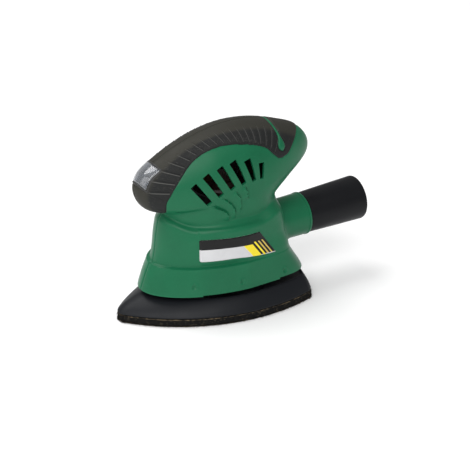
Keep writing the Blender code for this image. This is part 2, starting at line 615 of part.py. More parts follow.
def make_badge():
    """Identity plate on the left side, bent to the body."""
    columns, rows = 12, 4
    grid = []
    for z in np.linspace(BADGE_LOW, BADGE_HIGH, rows + 1):
        rear = BADGE_REAR + (z - BADGE_LOW) * BADGE_SLANT
        grid.append([(x, z) for x in np.linspace(BADGE_FRONT, rear, columns + 1)])
    flat = np.array(grid).reshape(-1, 2)
    body = form_width(flat[:, 0], flat[:, 1])[0]
    outer = [(x, width + BADGE_FACE, z) for (x, z), width in zip(flat, body)]
    inner = [(x, width + BADGE_BACK, z) for (x, z), width in zip(flat, body)]
    width, size = columns + 1, len(outer)
    faces = []
    for j in range(rows):
        for i in range(columns):
            a, b, c, d = j * width + i, j * width + i + 1, (j + 1) * width + i + 1, (j + 1) * width + i
            faces.append((a, b, c, d))
            faces.append((size + d, size + c, size + b, size + a))
    rim = list(range(width))
    rim += [j * width + columns for j in range(1, rows + 1)]
    rim += [rows * width + i for i in range(columns - 1, -1, -1)]
    rim += [j * width for j in range(rows - 1, 0, -1)]
    for a, b in zip(rim, rim[1:] + rim[:1]):
        faces.append((a, size + a, size + b, b))
    add_object("badge_plate", mesh_from("badge_plate", outer + inner, faces), SILVER)


def make_dust_way():
    lathe("dust_adapter", ADAPTER_WALL, BLACK, 28, dust_place(COLLAR_LENGTH), DUST_TURN, closed=True)
    tube = tube_profile(DUCT_RADIUS, DUCT_BORE, DUCT_LOW, DUCT_HIGH)
    duct = lathe("dust_duct", tube, BLACK, 24, DUST_AXIS_AT, DUST_TURN, closed=True)
    boolean(duct, box("cut_scoop", SCOOP_SIZE, at=SCOOP_AT))
    outside = [form_ring(z, WALL + 1.0, 10) for z in (SEAL_LOW, SEAL_HIGH)]
    inside = [form_ring(z, WALL + 1.0 + SEAL_THICKNESS, 10) for z in (SEAL_LOW - 1.0, SEAL_HIGH + 1.0)]
    boolean(loft("dust_seal", outside, FOAM), loft("cut_seal", inside, None))


def make_pad():
    outline = pad_outline()
    small = [(x * SHEET_SHARE, y * SHEET_SHARE) for x, y in outline]
    bearing = (ORBIT, 0.0, 0.0)
    plate = loft("pad_plate", [pad_ring(z, sink, outline) for z, sink in PLATE_LEVELS], BLACK)
    hook = prism("hook_layer", outline, SHEET_TOP + GAP, HOOK_TOP, FOAM)
    sheet = prism("sanding_sheet", small, 0.0, SHEET_TOP, ABRASIVE)
    for i, (x, y) in enumerate(DUST_HOLES):
        hole = rod(f"cut_dust_hole_{i}", DUST_HOLE_RADIUS, -LONGER, PLATE_TOP + LONGER, steps=8,
                   at=(x, y, 0.0))
        for layer in (plate, hook, sheet):
            boolean(layer, hole)
    boolean(plate, rod("cut_bearing_seat", BEARING_RADIUS + GAP, PAD_SEAT_LOW, PLATE_TOP + LONGER, steps=24,
                       at=bearing))
    boolean(plate, rod("cut_screw_room", PAD_SCREW_ROOM_RADIUS, 0.0, PAD_SCREW_ROOM_HIGH, steps=16,
                       at=bearing))
    low, high = PAD_SEAT_HIGH - BEARING_HEIGHT, PAD_SEAT_HIGH
    ring("pad_bearing_outer_ring", BEARING_RADIUS, OUTER_RING_BORE, low, high, STEEL, at=bearing)
    ring("pad_bearing_inner_ring", INNER_RING_RADIUS, PIN_RADIUS + GAP, low, high, STEEL, at=bearing)
    ring("pad_washer", PAD_WASHER_RADIUS, PAD_WASHER_BORE, PAD_WASHER_LOW, PAD_WASHER_HIGH, STEEL, 20,
         bearing)
    lathe("pad_screw", PAD_SCREW, STEEL, 16, at=bearing)
    for name, (x, y) in LEG_PLACES.items():
        lathe(name, LEG, FOAM, 14, at=(x, y, 0.0))


def make_drive():
    pin_at = (ORBIT, 0.0, 0.0)
    shaft = [
        (0.0, SHAFT_HIGH), (SHAFT_END_RADIUS, SHAFT_HIGH), (SHAFT_RADIUS, SHAFT_HIGH - 0.6),
        (SHAFT_RADIUS, SHAFT_LOW), (0.0, SHAFT_LOW),
    ]
    lathe("motor_shaft", shaft, STEEL, 20)
    hub = rod("eccentric_hub", HUB_RADIUS, HUB_LOW, HUB_HIGH, STEEL, 24)
    boolean(hub, rod("cut_pin", PIN_RADIUS, PIN_LOW, HUB_LOW + 1.0, steps=20, at=pin_at), "UNION")
    boolean(hub, rod("cut_pin_thread", PIN_THREAD_RADIUS, PIN_LOW - LONGER, PIN_THREAD_HIGH, steps=12,
                     at=pin_at))
    boolean(hub, rod("cut_socket", SHAFT_RADIUS + GAP, SHAFT_LOW - GAP, HUB_HIGH + LONGER, steps=20))
    weight = ring("counterweight", WEIGHT_RADIUS, WEIGHT_BORE, WEIGHT_LOW, WEIGHT_HIGH, BRASS, 28)
    boolean(weight, box("cut_weight", WEIGHT_CUT, at=WEIGHT_CUT_AT))
    make_fan()
    plate = lathe("bearing_plate", BEARING_PLATE, ALLOY, 28, closed=True)
    for i in range(AIR_HOLES):
        turn = (i + 0.5) * FULL_TURN / AIR_HOLES
        at = (AIR_HOLE_PLACE * math.cos(turn), AIR_HOLE_PLACE * math.sin(turn), LOWER_BEARING_LOW)
        boolean(plate, rod(f"cut_air_{i}", AIR_HOLE_RADIUS, -LONGER, LONGER, steps=8, at=at))
    high = LOWER_BEARING_LOW + BEARING_HEIGHT
    bore = SHAFT_RADIUS + GAP
    ring("lower_bearing_outer_ring", BEARING_RADIUS, OUTER_RING_BORE, LOWER_BEARING_LOW, high, STEEL)
    ring("lower_bearing_inner_ring", INNER_RING_RADIUS, bore, LOWER_BEARING_LOW, high, STEEL)
    low, high = UPPER_BEARING_LOW, UPPER_BEARING_HIGH
    ring("upper_bearing_outer_ring", UPPER_BEARING_RADIUS, UPPER_OUTER_BORE, low, high, STEEL)
    ring("upper_bearing_inner_ring", UPPER_INNER_RADIUS, bore, low, high, STEEL)
    ring("bearing_sleeve", SLEEVE_RADIUS, SLEEVE_BORE, SLEEVE_LOW, SLEEVE_HIGH, FOAM)


def make_fan():
    """Radial fan: a star of blades round a hub, with a disc over it."""
    star = []
    for i in range(FAN_BLADES):
        turn = i * FULL_TURN / FAN_BLADES
        for radius, side in ((FAN_HUB, -1), (FAN_TIP, -1), (FAN_TIP, 1), (FAN_HUB, 1)):
            corner = turn + side * FAN_HALF_BLADE / radius
            star.append((radius * math.cos(corner), radius * math.sin(corner)))
    fan = prism("cooling_fan", star, FAN_LOW, FAN_HIGH, BLACK)
    boolean(fan, rod("cut_fan_disc", FAN_TIP, FAN_DISC_LOW, FAN_DISC_HIGH, steps=28), "UNION")
    boolean(fan, rod("cut_fan_bore", SHAFT_RADIUS + GAP, FAN_LOW - LONGER, FAN_HIGH + LONGER, steps=20))


def make_motor():
    bore = []
    for centre in (math.pi / 2, 3 * math.pi / 2):
        pole = np.linspace(centre - POLE_HALF_ANGLE, centre + POLE_HALF_ANGLE, 9)
        yoke = np.linspace(centre + POLE_HALF_ANGLE, centre + math.pi - POLE_HALF_ANGLE, 7)
        for radius, turns in ((POLE_RADIUS, pole), (YOKE_RADIUS, yoke)):
            bore += [(radius * math.cos(t), radius * math.sin(t)) for t in turns]
    stator = rod("stator_stack", STATOR_RADIUS, STATOR_LOW, STATOR_HIGH, LAMINATION, 36)
    boolean(stator, prism("cut_stator_bore", bore, STATOR_LOW - LONGER, STATOR_HIGH + LONGER))
    for name, centre in (("field_coil_left", math.pi / 2), ("field_coil_right", 3 * math.pi / 2)):
        arc = np.linspace(centre - COIL_HALF_ANGLE, centre + COIL_HALF_ANGLE, 9)
        flat = [(COIL_REACH * math.cos(t), COIL_REACH * math.sin(t)) for t in arc]
        low = [(x, y, STATOR_LOW - COIL_OVERHANG) for x, y in flat]
        high = [(x, y, STATOR_HIGH + COIL_OVERHANG) for x, y in reversed(flat)]
        wire(name, low + high, COIL_RADIUS, COPPER, cyclic=True, resolution=1)
    make_armature()
    for name, side in (("front", 1), ("rear", -1)):
        make_brush(name, side)


def make_armature():
    bore = SHAFT_RADIUS + GAP
    low, high = STATOR_LOW + ARMATURE_INSET, STATOR_HIGH - ARMATURE_INSET
    ring("armature_core", ARMATURE_RADIUS, bore, low, high, LAMINATION, 24)
    for name, low, high in WINDINGS:
        profile = [
            (bore, high), (WINDING_END_RADIUS, high), (WINDING_RADIUS, high - WINDING_ROUND),
            (WINDING_RADIUS, low + WINDING_ROUND), (WINDING_END_RADIUS, low), (bore, low),
        ]
        lathe(name, profile, COPPER, 24, closed=True)
    ring("commutator", COMMUTATOR_RADIUS, bore, COMMUTATOR_LOW, COMMUTATOR_HIGH, COPPER, 24)


def make_brush(name, side):
    """Carbon brush with its holder and spring, ahead of the shaft (+1) or behind it (-1)."""
    holder = box(f"brush_holder_{name}", HOLDER_SIZE, BRASS, at=(side * HOLDER_PLACE, 0.0, BRUSH_HEIGHT))
    boolean(holder, box(f"cut_brush_way_{name}", BRUSH_WAY, at=(side * BRUSH_WAY_PLACE, 0.0, BRUSH_HEIGHT)))
    box(f"carbon_brush_{name}", BRUSH_SIZE, CARBON, at=(side * BRUSH_PLACE, 0.0, BRUSH_HEIGHT))
    coil = []
    for share in np.linspace(0, 1, BRUSH_SPRING_POINTS):
        turn = share * BRUSH_SPRING_TURNS * FULL_TURN
        along = BRUSH_SPRING_START + BRUSH_SPRING_LENGTH * share
        coil.append((side * along, BRUSH_SPRING_RADIUS * math.cos(turn),
                     BRUSH_HEIGHT + BRUSH_SPRING_RADIUS * math.sin(turn)))
    wire(f"brush_spring_{name}", coil, BRUSH_SPRING_WIRE, STEEL)


def make_wiring():
    box("capacitor", CAPACITOR_SIZE, YELLOW, at=CAPACITOR_AT)
    box("terminal_block", TERMINAL_SIZE, BLACK, at=TERMINAL_AT)
    for name, side, look in (("lead_live", 1, BROWN), ("lead_neutral", -1, BLUE)):
        wire(name, [(x, side * away, z) for x, away, z in LEAD], LEAD_RADIUS, look)
    bush = tube_profile(CORD_BUSH_RADIUS, CORD_BUSH_BORE, 0.0, CORD_BUSH_LENGTH)
    at = (CORD_BUSH_FRONT, 0.0, CORD_HEIGHT)
    lathe("cord_inlet_bush", bush, BLACK, 20, at, TURN_BACK, closed=True)


def make_fixings():
    profile = [
        (0.0, SCREW_HEAD_HIGH), (SCREW_HEAD_RADIUS, SCREW_HEAD_HIGH), (SCREW_HEAD_RADIUS, SCREW_HEAD_LOW),
        (SCREW_RADIUS, SCREW_HEAD_LOW), (SCREW_RADIUS, SCREW_END), (0.0, SCREW_END),
    ]
    for i, (x, z) in enumerate(SCREW_PLACES):
        lathe(f"housing_screw_{i + 1}", profile, STEEL, 10, at=(x, 0.0, z), turn=TURN_RIGHT)


clear_scene()
ASSEMBLY = new_collection("detail_mouse_sander")
CUTTERS = new_collection("cutters", hidden=True)

GREEN = material("green_body", (0.012, 0.130, 0.055), 0.38)
BLACK = material("black_plastic", (0.012, 0.012, 0.013), 0.42)
RUBBER_BLACK = material("black_rubber", (0.020, 0.019, 0.018), 0.62)
CLEAR = material("clear_boot", (0.80, 0.82, 0.85), 0.12, transmission=0.9)
ROCKER_BLACK = material("rocker_plastic", (0.030, 0.030, 0.033), 0.35)
SILVER = material("badge_silver", (0.62, 0.62, 0.64), 0.30, 0.3)
FOAM = material("black_foam", (0.016, 0.015, 0.014), 0.90)
ABRASIVE = material("sanding_grit", (0.115, 0.060, 0.032), 0.95)
STEEL = material("steel", (0.50, 0.50, 0.52), 0.30, 1.0)
ALLOY = material("cast_alloy", (0.42, 0.42, 0.43), 0.50, 1.0)
BRASS = material("brass", (0.52, 0.36, 0.14), 0.34, 1.0)
COPPER = material("copper", (0.55, 0.20, 0.09), 0.36, 1.0)
LAMINATION = material("lamination_steel", (0.16, 0.16, 0.17), 0.48, 0.9)
CARBON = material("carbon", (0.020, 0.020, 0.022), 0.60)
YELLOW = material("capacitor_yellow", (0.55, 0.36, 0.05), 0.45)
BROWN = material("lead_brown", (0.10, 0.035, 0.015), 0.45)
BLUE = material("lead_blue", (0.015, 0.05, 0.22), 0.45)

make_housing()
make_grips()
make_switch()
make_badge()
make_dust_way()
make_pad()
make_drive()
make_motor()
make_wiring()
make_fixings()
bpy.context.view_layer.update()
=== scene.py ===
"""Detail mouse sander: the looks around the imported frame.

Lengths are millimetres in the frame of the part, except in the scene section, which is in metres.
"""

import json
import math

import bmesh
import bpy
import numpy as np
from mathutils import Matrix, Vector


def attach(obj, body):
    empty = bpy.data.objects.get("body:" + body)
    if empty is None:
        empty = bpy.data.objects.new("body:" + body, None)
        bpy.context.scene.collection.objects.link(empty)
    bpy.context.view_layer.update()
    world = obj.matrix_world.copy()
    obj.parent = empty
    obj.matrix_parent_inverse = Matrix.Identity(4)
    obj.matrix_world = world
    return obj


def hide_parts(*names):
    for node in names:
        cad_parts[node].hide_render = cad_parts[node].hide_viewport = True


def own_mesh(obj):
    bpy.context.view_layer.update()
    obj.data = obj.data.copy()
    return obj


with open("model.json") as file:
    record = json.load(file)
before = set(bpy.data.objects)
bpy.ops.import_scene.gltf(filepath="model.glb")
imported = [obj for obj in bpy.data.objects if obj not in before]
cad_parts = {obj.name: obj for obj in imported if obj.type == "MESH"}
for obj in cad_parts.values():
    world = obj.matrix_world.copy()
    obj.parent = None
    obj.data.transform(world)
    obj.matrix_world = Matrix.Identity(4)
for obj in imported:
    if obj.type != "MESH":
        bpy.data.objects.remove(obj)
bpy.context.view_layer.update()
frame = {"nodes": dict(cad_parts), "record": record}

MM = 0.001
FULL = 2 * math.pi

# ---- outer form -------------------------------------------------------------------------------
GRIP_CENTRE = (-4.0, 86.0)
RIDGE = (  # x, z along the centre line of the grip, from the throat over the nose to the tail
    (49.5, 76.6), (59.0, 79.6), (65.0, 86.5), (67.0, 95.5), (63.3, 104.0), (54.0, 110.6),
    (43.5, 116.5), (29.7, 122.6), (12.0, 127.9), (-8.0, 130.4), (-26.0, 129.0), (-42.0, 125.0),
    (-56.0, 119.7), (-63.4, 113.5), (-67.2, 106.0), (-66.0, 99.8), (-54.5, 90.0), (-44.5, 82.2),
    (-38.0, 76.0), (-36.0, 66.0), (-33.0, 56.0), (0.0, 50.0), (35.0, 54.0), (44.0, 66.0),
)
GRIP_WIDTH = (  # x, half width
    (-70.0, 15.5), (-62.0, 18.0), (-50.0, 21.0), (-38.0, 24.0), (-22.0, 27.0), (-5.0, 28.0),
    (15.0, 28.0), (35.0, 26.0), (50.0, 24.5), (58.0, 24.0), (68.0, 23.5),
)
GRIP_CROWN = 2.9
SKIRT = (  # z, front, rear, half width
    (18.0, 65.7, -55.8, 37.4), (19.5, 65.2, -55.0, 37.2), (25.0, 63.4, -52.0, 36.6),
    (31.0, 61.2, -48.0, 35.8), (39.0, 57.8, -43.5, 34.6), (41.0, 57.2, -43.0, 34.4),
)
UPPER = (
    (38.0, 55.8, -42.6, 31.8), (46.0, 54.0, -41.0, 32.2), (58.0, 52.4, -39.0, 32.6),
    (67.0, 50.8, -37.4, 32.1), (69.2, 50.2, -36.7, 31.2), (70.6, 49.5, -36.2, 28.9),
    (72.6, 48.4, -35.4, 23.5), (75.0, 46.8, -34.4, 16.0), (80.0, 40.0, -30.0, 8.0),
)
LEDGE = 39.2
LEDGE_SOFT = 0.5
SHOULDER_DROP = 4.6  # reached behind the first x, ahead of the second and above the z; each with its length
DROP_BEHIND, DROP_AHEAD, DROP_ABOVE = (50.0, 18.0), (-28.0, 16.0), (57.0, 6.0)
SKIRT_EDGE = (  # x, z of what is cut from the skirt's lower edge, which steps up to the rear
    (-80.0, 10.0), (32.7, 10.0), (32.7, 20.8), (-26.0, 20.8), (-26.0, 21.8), (-80.0, 21.8),
)
BODY_MIDDLE = -2.0
NOSE_POWER, TAIL_TAPER, TAIL_POWER, TAIL_ROUNDNESS = 1.85, 0.12, 8, 0.36
FLARE_MOST, FLARE_SHARE = 4.0, 0.9  # how the rear of the upper body widens towards the skirt
END_MIDDLE, END_REACH = -8.0, 90.0  # the body's ends are looked for between these
BLEND_FRONT, BLEND_REAR = 1.9, 13.0  # softness of the corner between grip and body
SEAM = 0.15
WALL = 2.0
GRIP_EDGE = (  # angle round GRIP_CENTRE in degrees, distance of the rubber's lower edge
    (-12.0, 54.0), (1.0, 55.5), (8.0, 53.5), (24.0, 48.2), (34.0, 45.8), (47.0, 42.4),
    (62.0, 38.8), (75.0, 36.2), (92.0, 34.0), (107.0, 33.5), (121.0, 33.7), (133.0, 32.8),
    (142.0, 33.3), (148.0, 36.4),
)
GRIP_START = -11.0
GRIP_END = ((30.0, 146.5), (36.0, 147.6), (42.0, 150.4), (49.0, 149.4), (60.0, 148.0))  # distance, angle
VENTS = (
    ((34.7, 99.0), (24.2, 85.0), 4.0, 3.2), ((25.8, 104.8), (16.0, 89.6), 4.6, 3.3),
    ((15.8, 108.7), (7.2, 93.0), 4.4, 3.1), ((6.0, 111.3), (-1.2, 94.8), 4.8, 2.8),
    ((-4.8, 110.8), (-9.1, 95.5), 4.6, 2.2), ((-15.6, 106.8), (-15.1, 95.7), 3.6, 2.0),
)
VENT_EASE = 0.45
FINS = (  # lines that run on from the slots' inner ends
    ((24.5, 84.0), (17.3, 80.3), (12.1, 76.6), (10.3, 72.3), (10.6, 68.5)),
    ((16.5, 89.0), (11.5, 84.8), (7.7, 80.7), (5.8, 76.0), (5.4, 69.5)),
    ((6.9, 91.9), (4.0, 88.9), (2.2, 85.4), (1.6, 80.6), (1.7, 74.0)),
    ((-1.6, 94.0), (-3.2, 90.5), (-4.0, 86.5), (-4.3, 83.0)),
)
FIN_POINTS, FIN_LIFT, FIN_WIDTH, FIN_TROUGH, FIN_TROUGH_WIDTH = 16, 1.5, 2.8, 0.6, 1.1
DIMPLES = ((37.5, 27.0), (4.7, 26.7), (-30.4, 25.9))
DIMPLE_DEPTH, DIMPLE_RADIUS, DIMPLE_RIM, DIMPLE_RIM_RADIUS, DIMPLE_RIM_WIDTH = 0.7, 1.4, 0.45, 2.1, 0.5
PANEL_RISE = 0.55  # of the flat field that carries the identity plate
PANEL_FRONT, PANEL_REAR, PANEL_LOW, PANEL_HIGH = 31.9, -21.0, 41.0, 66.6
SEAM_GROOVE, SEAM_WIDTH = 0.4, 0.55
RUBBER_RECESS = 1.05
CROWN_LOW, CROWN_SHARE = 100.0, 0.8  # above this the inner skin's rows are drawn together
SHELL_COLUMNS = 236
SCREW_PLACES = ((43.0, 47.0), (-28.0, 29.0), (37.0, 79.0), (-29.5, 74.0), (-50.0, 106.0), (12.0, 117.0))
DUST_TILT = math.radians(3.2)
DUST_AXIS_AT = (-47.0, 0.0, 48.3)
DUST_AXIS = np.array([-math.cos(DUST_TILT), 0.0, math.sin(DUST_TILT)])
COLLAR_LENGTH = 17.6
SWITCH_ANGLE = math.radians(17.3)
SWITCH_TURN = math.radians(45.0)
SWITCH_HOLE = (8.6, 10.3)  # half sizes along and across the ridge
SWITCH_HOLE_DEPTHS = (-16.0, 14.0)
BOOT_HALF = (8.3, 9.7)
BOOT_ROWS, BOOT_COLUMNS, BOOT_LIP, BOOT_SINK, BOOT_RISE, BOOT_WALL = 60, 72, 1.6, 0.6, 1.25, 1.5
BOOT_SEARCH = (-16.0, 6.0)  # depths between which the form's surface is looked for
BEAD_HALF, BEAD_CORNER, BEAD_POINTS, BEAD_SIDES = (8.6, 10.0), 1.2, 220, 12
BEAD_WIDE, BEAD_HIGH, BEAD_LIFT = 0.75, 0.62, 0.05
PAD_POINT_X = 84.4
PAD_CORNER = (-52.0, 35.7)
PAD_CORNER_RADIUS = 8.0
PAD_SIDE_RISE, PAD_REAR_RISE = 23.3, 6.1
PAD_TIP_X, PAD_REAR_X, PAD_HALF_WIDTH = 81.9, -58.0, 44.2
PLATE_TOP_FRONT, PLATE_TOP_REAR, PLATE_TOP_SIDE = 62.0, 54.5, 36.0  # reach of the plate's upper edge
PLATE_PROFILE = (  # z, share drawn in, outward
    (6.4, 0.0, -0.9), (6.32, 0.0, -0.3), (6.5, 0.0, 0.0), (6.9, 0.0, 0.18), (7.4, 0.01, 0.16),
    (7.8, 0.025, -0.05), (8.6, 0.075, -0.05), (9.6, 0.15, 0.0), (10.8, 0.255, 0.0), (12.2, 0.40, 0.0),
    (13.6, 0.56, 0.0), (14.8, 0.72, 0.0), (15.7, 0.86, 0.0), (16.2, 0.95, 0.0), (16.4, 1.02, 0.0),
    (16.2, 1.08, 0.0), (15.6, 1.12, 0.0), (15.0, 1.3, 0.0),
)
HOOK_LEVELS = (  # z, outward
    (1.4, -0.5), (1.5, 0.0), (2.2, 0.12), (3.0, 0.05), (3.8, 0.1), (4.6, 0.02), (5.3, 0.12), (5.8, 0.05),
    (6.05, -0.4),
)
HOOK_TAN_ROW = 6  # the row of faces that shows the tan layer
SHEET_LEVELS = ((0.02, -1.0), (0.0, -0.4), (0.15, 0.0), (0.55, 0.12), (0.95, 0.05), (1.25, -0.2))
SHEET_GRIT_ROWS = 2  # rows of faces with grit, counted from below; the next one is the paper's edge
SHEET_SHARE = 0.992
HOLE_RADIUS, HOOK_HOLE_RADIUS, HOLE_LOW, HOLE_HIGH = 4.5, 4.4, -5.0, 30.0
SEAT_RADIUS, SEAT_LOW, ROOM_RADIUS, ROOM_HIGH = 11.3, 9.2, 7.0, 12.0
FIBRES, FIBRE_ROOT = 5200, 0.2
DUST_HOLES = ((44.0, 0.0), (20.0, 24.0), (20.0, -24.0), (-12.0, 28.0), (-12.0, -28.0), (-34.0, 0.0))
ORBIT = 1.0
WELL_RADIUS, WELL_WALL, WELL_FLOOR = 3.6, 1.0, 8.1
WELL_SUNK, WELL_UNDER_SKIN, WELL_UNDER_RUBBER = 0.6, 0.7, 1.2
SCREW_PROFILE = (  # radius, distance to the right of the middle plane
    (0.0, 10.6), (1.5, 10.58), (2.4, 10.4), (2.95, 10.0), (3.2, 9.4), (3.2, 8.4), (1.5, 8.4),
    (1.5, -9.6), (0.0, -9.6),
)
SLOT_HALF_LENGTH, SLOT_HALF_WIDTH, SLOT_DEEP, SLOT_HIGH = 1.9, 0.42, -9.2, -12.0
BRUSH_HEIGHT = 95.0
SPRING_START, SPRING_LENGTH, SPRING_RADIUS, SPRING_WIRE = 18.9, 5.2, 2.0, 0.3
SPRING_TURNS, SPRING_POINTS, SPRING_SIDES, SPRING_KEEP = 4, 161, 10, 0.38
CORD_AT = (-52.4, 101.5)
CORD_HOLE_RADIUS = 5.7
DUCT_HOLE_RADIUS = 14.2
COLLAR_FOOT, COLLAR_FLARE, COLLAR_FLARE_LENGTH, COLLAR_STRAIGHT, COLLAR_DRAFT = 15.0, 3.4, 5.0, 15.4, 0.28
COLLAR_MOUTH = (  # radius, distance along the axis: bead, mouth and bore
    (15.32, 15.7), (15.62, 15.9), (15.66, 16.9), (15.5, 17.4), (15.2, 17.6), (14.6, 17.55), (14.25, 17.2),
    (DUCT_HOLE_RADIUS, 16.0), (DUCT_HOLE_RADIUS, -6.0),
)
COLLAR_BULGE = (  # distance aside, how much further back the body's skin lies there
    (0.0, 8.0, 12.0, 15.0, 17.0, 19.0), (0.0, 0.05, 0.15, 0.35, 0.7, 1.2),
)
COLLAR_FADE = 12.0  # length over which the foot follows the body
DROP_LOW, DROP_HIGH = 109.6, 127.2
DROP_WIDTHS = (  # share of the height, half width of the teardrop
    (0.0, 0.05), (0.03, 1.3), (0.08, 2.3), (0.16, 3.1), (0.24, 3.2), (0.34, 2.6), (0.44, 1.75), (0.55, 1.15),
    (0.7, 0.95), (1.0, 0.9),
)
DROP_MIDDLES = ((0.0, -35.6), (0.25, -35.4), (0.6, -35.0), (1.0, -33.2))
DROP_GAP = 0.1  # between inlay and rubber
RIB_PITCH, RIB_LEAN, RIB_REACH = 6.9, 2.4, 44.0  # degrees, degrees from edge to ridge, mm
RUBBER_SUNK, RUBBER_LIP, RUBBER_LIP_LENGTH = 0.75, 1.15, 1.1
RIB_ANGLES, RIB_ANGLE_FADE = (6.0, 138.0), 3.0
RIB_AT, RIB_LIFT, RIB_WIDTH, RIB_PAINTED_HIGHLIGHT_WIDTH = 0.55, 0.34, 0.30, 0.27
RIB_GROOVE, RIB_GROOVE_WIDTH, RIB_RIPPLE, RIB_RIPPLES = 0.55, 0.28, 0.09, 6
SWITCH_LINE = ((66.5, 97.9), (64.3, 96.5), (60.5, 93.9), (56.4, 91.4), (53.5, 90.4))
GRIP_COLUMNS, GRIP_LAST_ANGLE, GRIP_WALL = 760, 148.5, 2.4
GRIP_EDGE_ROWS = np.array([0.0, 0.12, 0.3, 0.55, 0.9, 1.3])  # distance from the rubber's lower edge
GRIP_REST_ROWS = np.linspace(0.0, 1.0, 84)[1:]
WINDOW_HALF, WINDOW_REAR = (8.2, 9.6), 40.0  # rubber left open under the boot
BADGE_FRONT, BADGE_REAR_LOW, BADGE_REAR_HIGH = 32.0, -24.0, -10.8
BADGE_LOW, BADGE_HIGH = (43.6, 41.3), (59.8, 59.5)  # z at the front and at the rear
BADGE_SPLIT, BADGE_OVERLAP, BADGE_CORNER = 0.56, 0.09, 1.3
BADGE_CUTS = (0.0, 0.665, 0.785, 0.822, 0.85, 0.882, 0.906, 0.938, 0.958, 1.0)
BADGE_KINDS = (1, 2, 0, 2, 0, 3, 0, 3, 0)  # look of each stretch between two cuts
BADGE_COLUMNS = 150


# ---- small helpers ----------------------------------------------------------------------------
def hermite(u, step, first, last, slope_first, slope_last):
    """The cubic between two points; u runs from 0 to 1 over the step."""
    start = (2 * u**3 - 3 * u**2 + 1) * first + (u**3 - 2 * u**2 + u) * step * slope_first
    return start + (3 * u**2 - 2 * u**3) * last + (u**3 - u**2) * step * slope_last


def smooth_table(rows, at, column=1):
    """A smooth curve through the rows that never overshoots them."""
    x = np.array([row[0] for row in rows], float)
    y = np.array([row[column] for row in rows], float)
    step = np.diff(x)
    rise = np.diff(y) / step
    slope = np.zeros_like(y)
    same = rise[1:] * rise[:-1] > 0
    before, after = np.where(same, rise[:-1], 1.0), np.where(same, rise[1:], 1.0)
    w1, w2 = 2 * step[1:] + step[:-1], step[1:] + 2 * step[:-1]
    slope[1:-1] = np.where(same, (w1 + w2) / (w1 / before + w2 / after), 0.0)
    slope[0], slope[-1] = rise[0], rise[-1]
    at = np.clip(at, x[0], x[-1])
    i = np.clip(np.searchsorted(x, at, side="right") - 1, 0, len(step) - 1)
    u = (at - x[i]) / step[i]
    return hermite(u, step[i], y[i], y[i + 1], slope[i], slope[i + 1])


def ease(value):
    """Rises from 0 to 1 without a kink while the value does."""
    t = np.clip(value, 0, 1)
    return t * t * (3 - 2 * t)


def round_over(value):
    """A quarter circle: rises steeply from 0 and levels out at 1."""
    return np.sqrt(np.clip(1 - (1 - np.clip(value, 0, 1)) ** 2, 0, 1))


def bell(distance, width, power=2):
    return np.exp(-((distance / width) ** power))


def bisect(inner, outer, holds, steps=40):
    """The last place on the way from inner to outer where holds is true."""
    for _ in range(steps):
        middle = (inner + outer) / 2
        inside = holds(middle)
        inner, outer = np.where(inside, middle, inner), np.where(inside, outer, middle)
    return inner


def ridge_radius(angle):
    """Distance of the grip's centre line from GRIP_CENTRE at an angle in radians."""
    offsets = np.array(RIDGE) - GRIP_CENTRE
    turns = np.arctan2(offsets[:, 1], offsets[:, 0]) % FULL
    order = np.argsort(turns)
    turns, reach = turns[order], np.hypot(offsets[:, 0], offsets[:, 1])[order]
    t = np.concatenate([[turns[-1] - FULL], turns, turns[:2] + FULL])
    r = np.concatenate([[reach[-1]], reach, reach[:2]])
    slope = (r[2:] - r[:-2]) / (t[2:] - t[:-2])
    at = (np.asarray(angle) - turns[0]) % FULL + turns[0]
    i = np.clip(np.searchsorted(turns, at, side="right") - 1, 0, len(turns) - 1)
    step = t[i + 2] - t[i + 1]
    u = (at - t[i + 1]) / step
    return hermite(u, step, r[i + 1], r[i + 2], slope[i], slope[i + 1])


def grip_form(x, z, inset):
    """Half width of the grip and how far inside its outline a point lies."""
    across, up = x - GRIP_CENTRE[0], z - GRIP_CENTRE[1]
    share = np.hypot(across, up) / (ridge_radius(np.arctan2(up, across)) - inset)
    width = smooth_table(GRIP_WIDTH, x) - inset
    return width * np.sqrt(np.clip(1 - share**GRIP_CROWN, 0, None)), 1 - share


def section(x, z, rows, inset):
    """The same for a part of the body whose outline at each height is given by rows."""
    front, rear = smooth_table(rows, z, 1) - inset, smooth_table(rows, z, 2) + inset
    width = smooth_table(rows, z, 3) - inset
    ahead = x >= BODY_MIDDLE
    share = (x - BODY_MIDDLE) / (np.where(ahead, front, rear) - BODY_MIDDLE)
    inside = np.clip(share, 0, 1)
    nose = np.sqrt(1 - inside**NOSE_POWER)
    tail = (1 - TAIL_TAPER * inside) * (1 - inside**TAIL_POWER) ** TAIL_ROUNDNESS
    return width * np.where(ahead, nose, tail), 1 - share


def shoulder_drop(x, z):
    """How much lower the body's shoulder runs along the sides than at the nose and the rear."""
    (behind, soft_behind), (ahead, soft_ahead), (above, soft_above) = DROP_BEHIND, DROP_AHEAD, DROP_ABOVE
    along = SHOULDER_DROP * ease((behind - x) / soft_behind) * ease((x - ahead) / soft_ahead)
    return along * ease((z - above) / soft_above)


def body_form(x, z, inset):
    low, in_low = section(x, z, SKIRT, inset)
    high, in_high = section(x, z + shoulder_drop(x, z), UPPER, inset)
    over = ease((z - LEDGE + LEDGE_SOFT) / (2 * LEDGE_SOFT))
    flare = ease((12.0 - x) / 34.0) * ease((55.0 - z) / 15.5)
    high = high + np.clip(low - high, 0, FLARE_MOST) * flare * FLARE_SHARE
    width = low * (1 - over) + high * over
    edge = in_low * (1 - over) + in_high * over
    return width, np.where(z <= UPPER[-1][0] - inset, edge, -1.0)


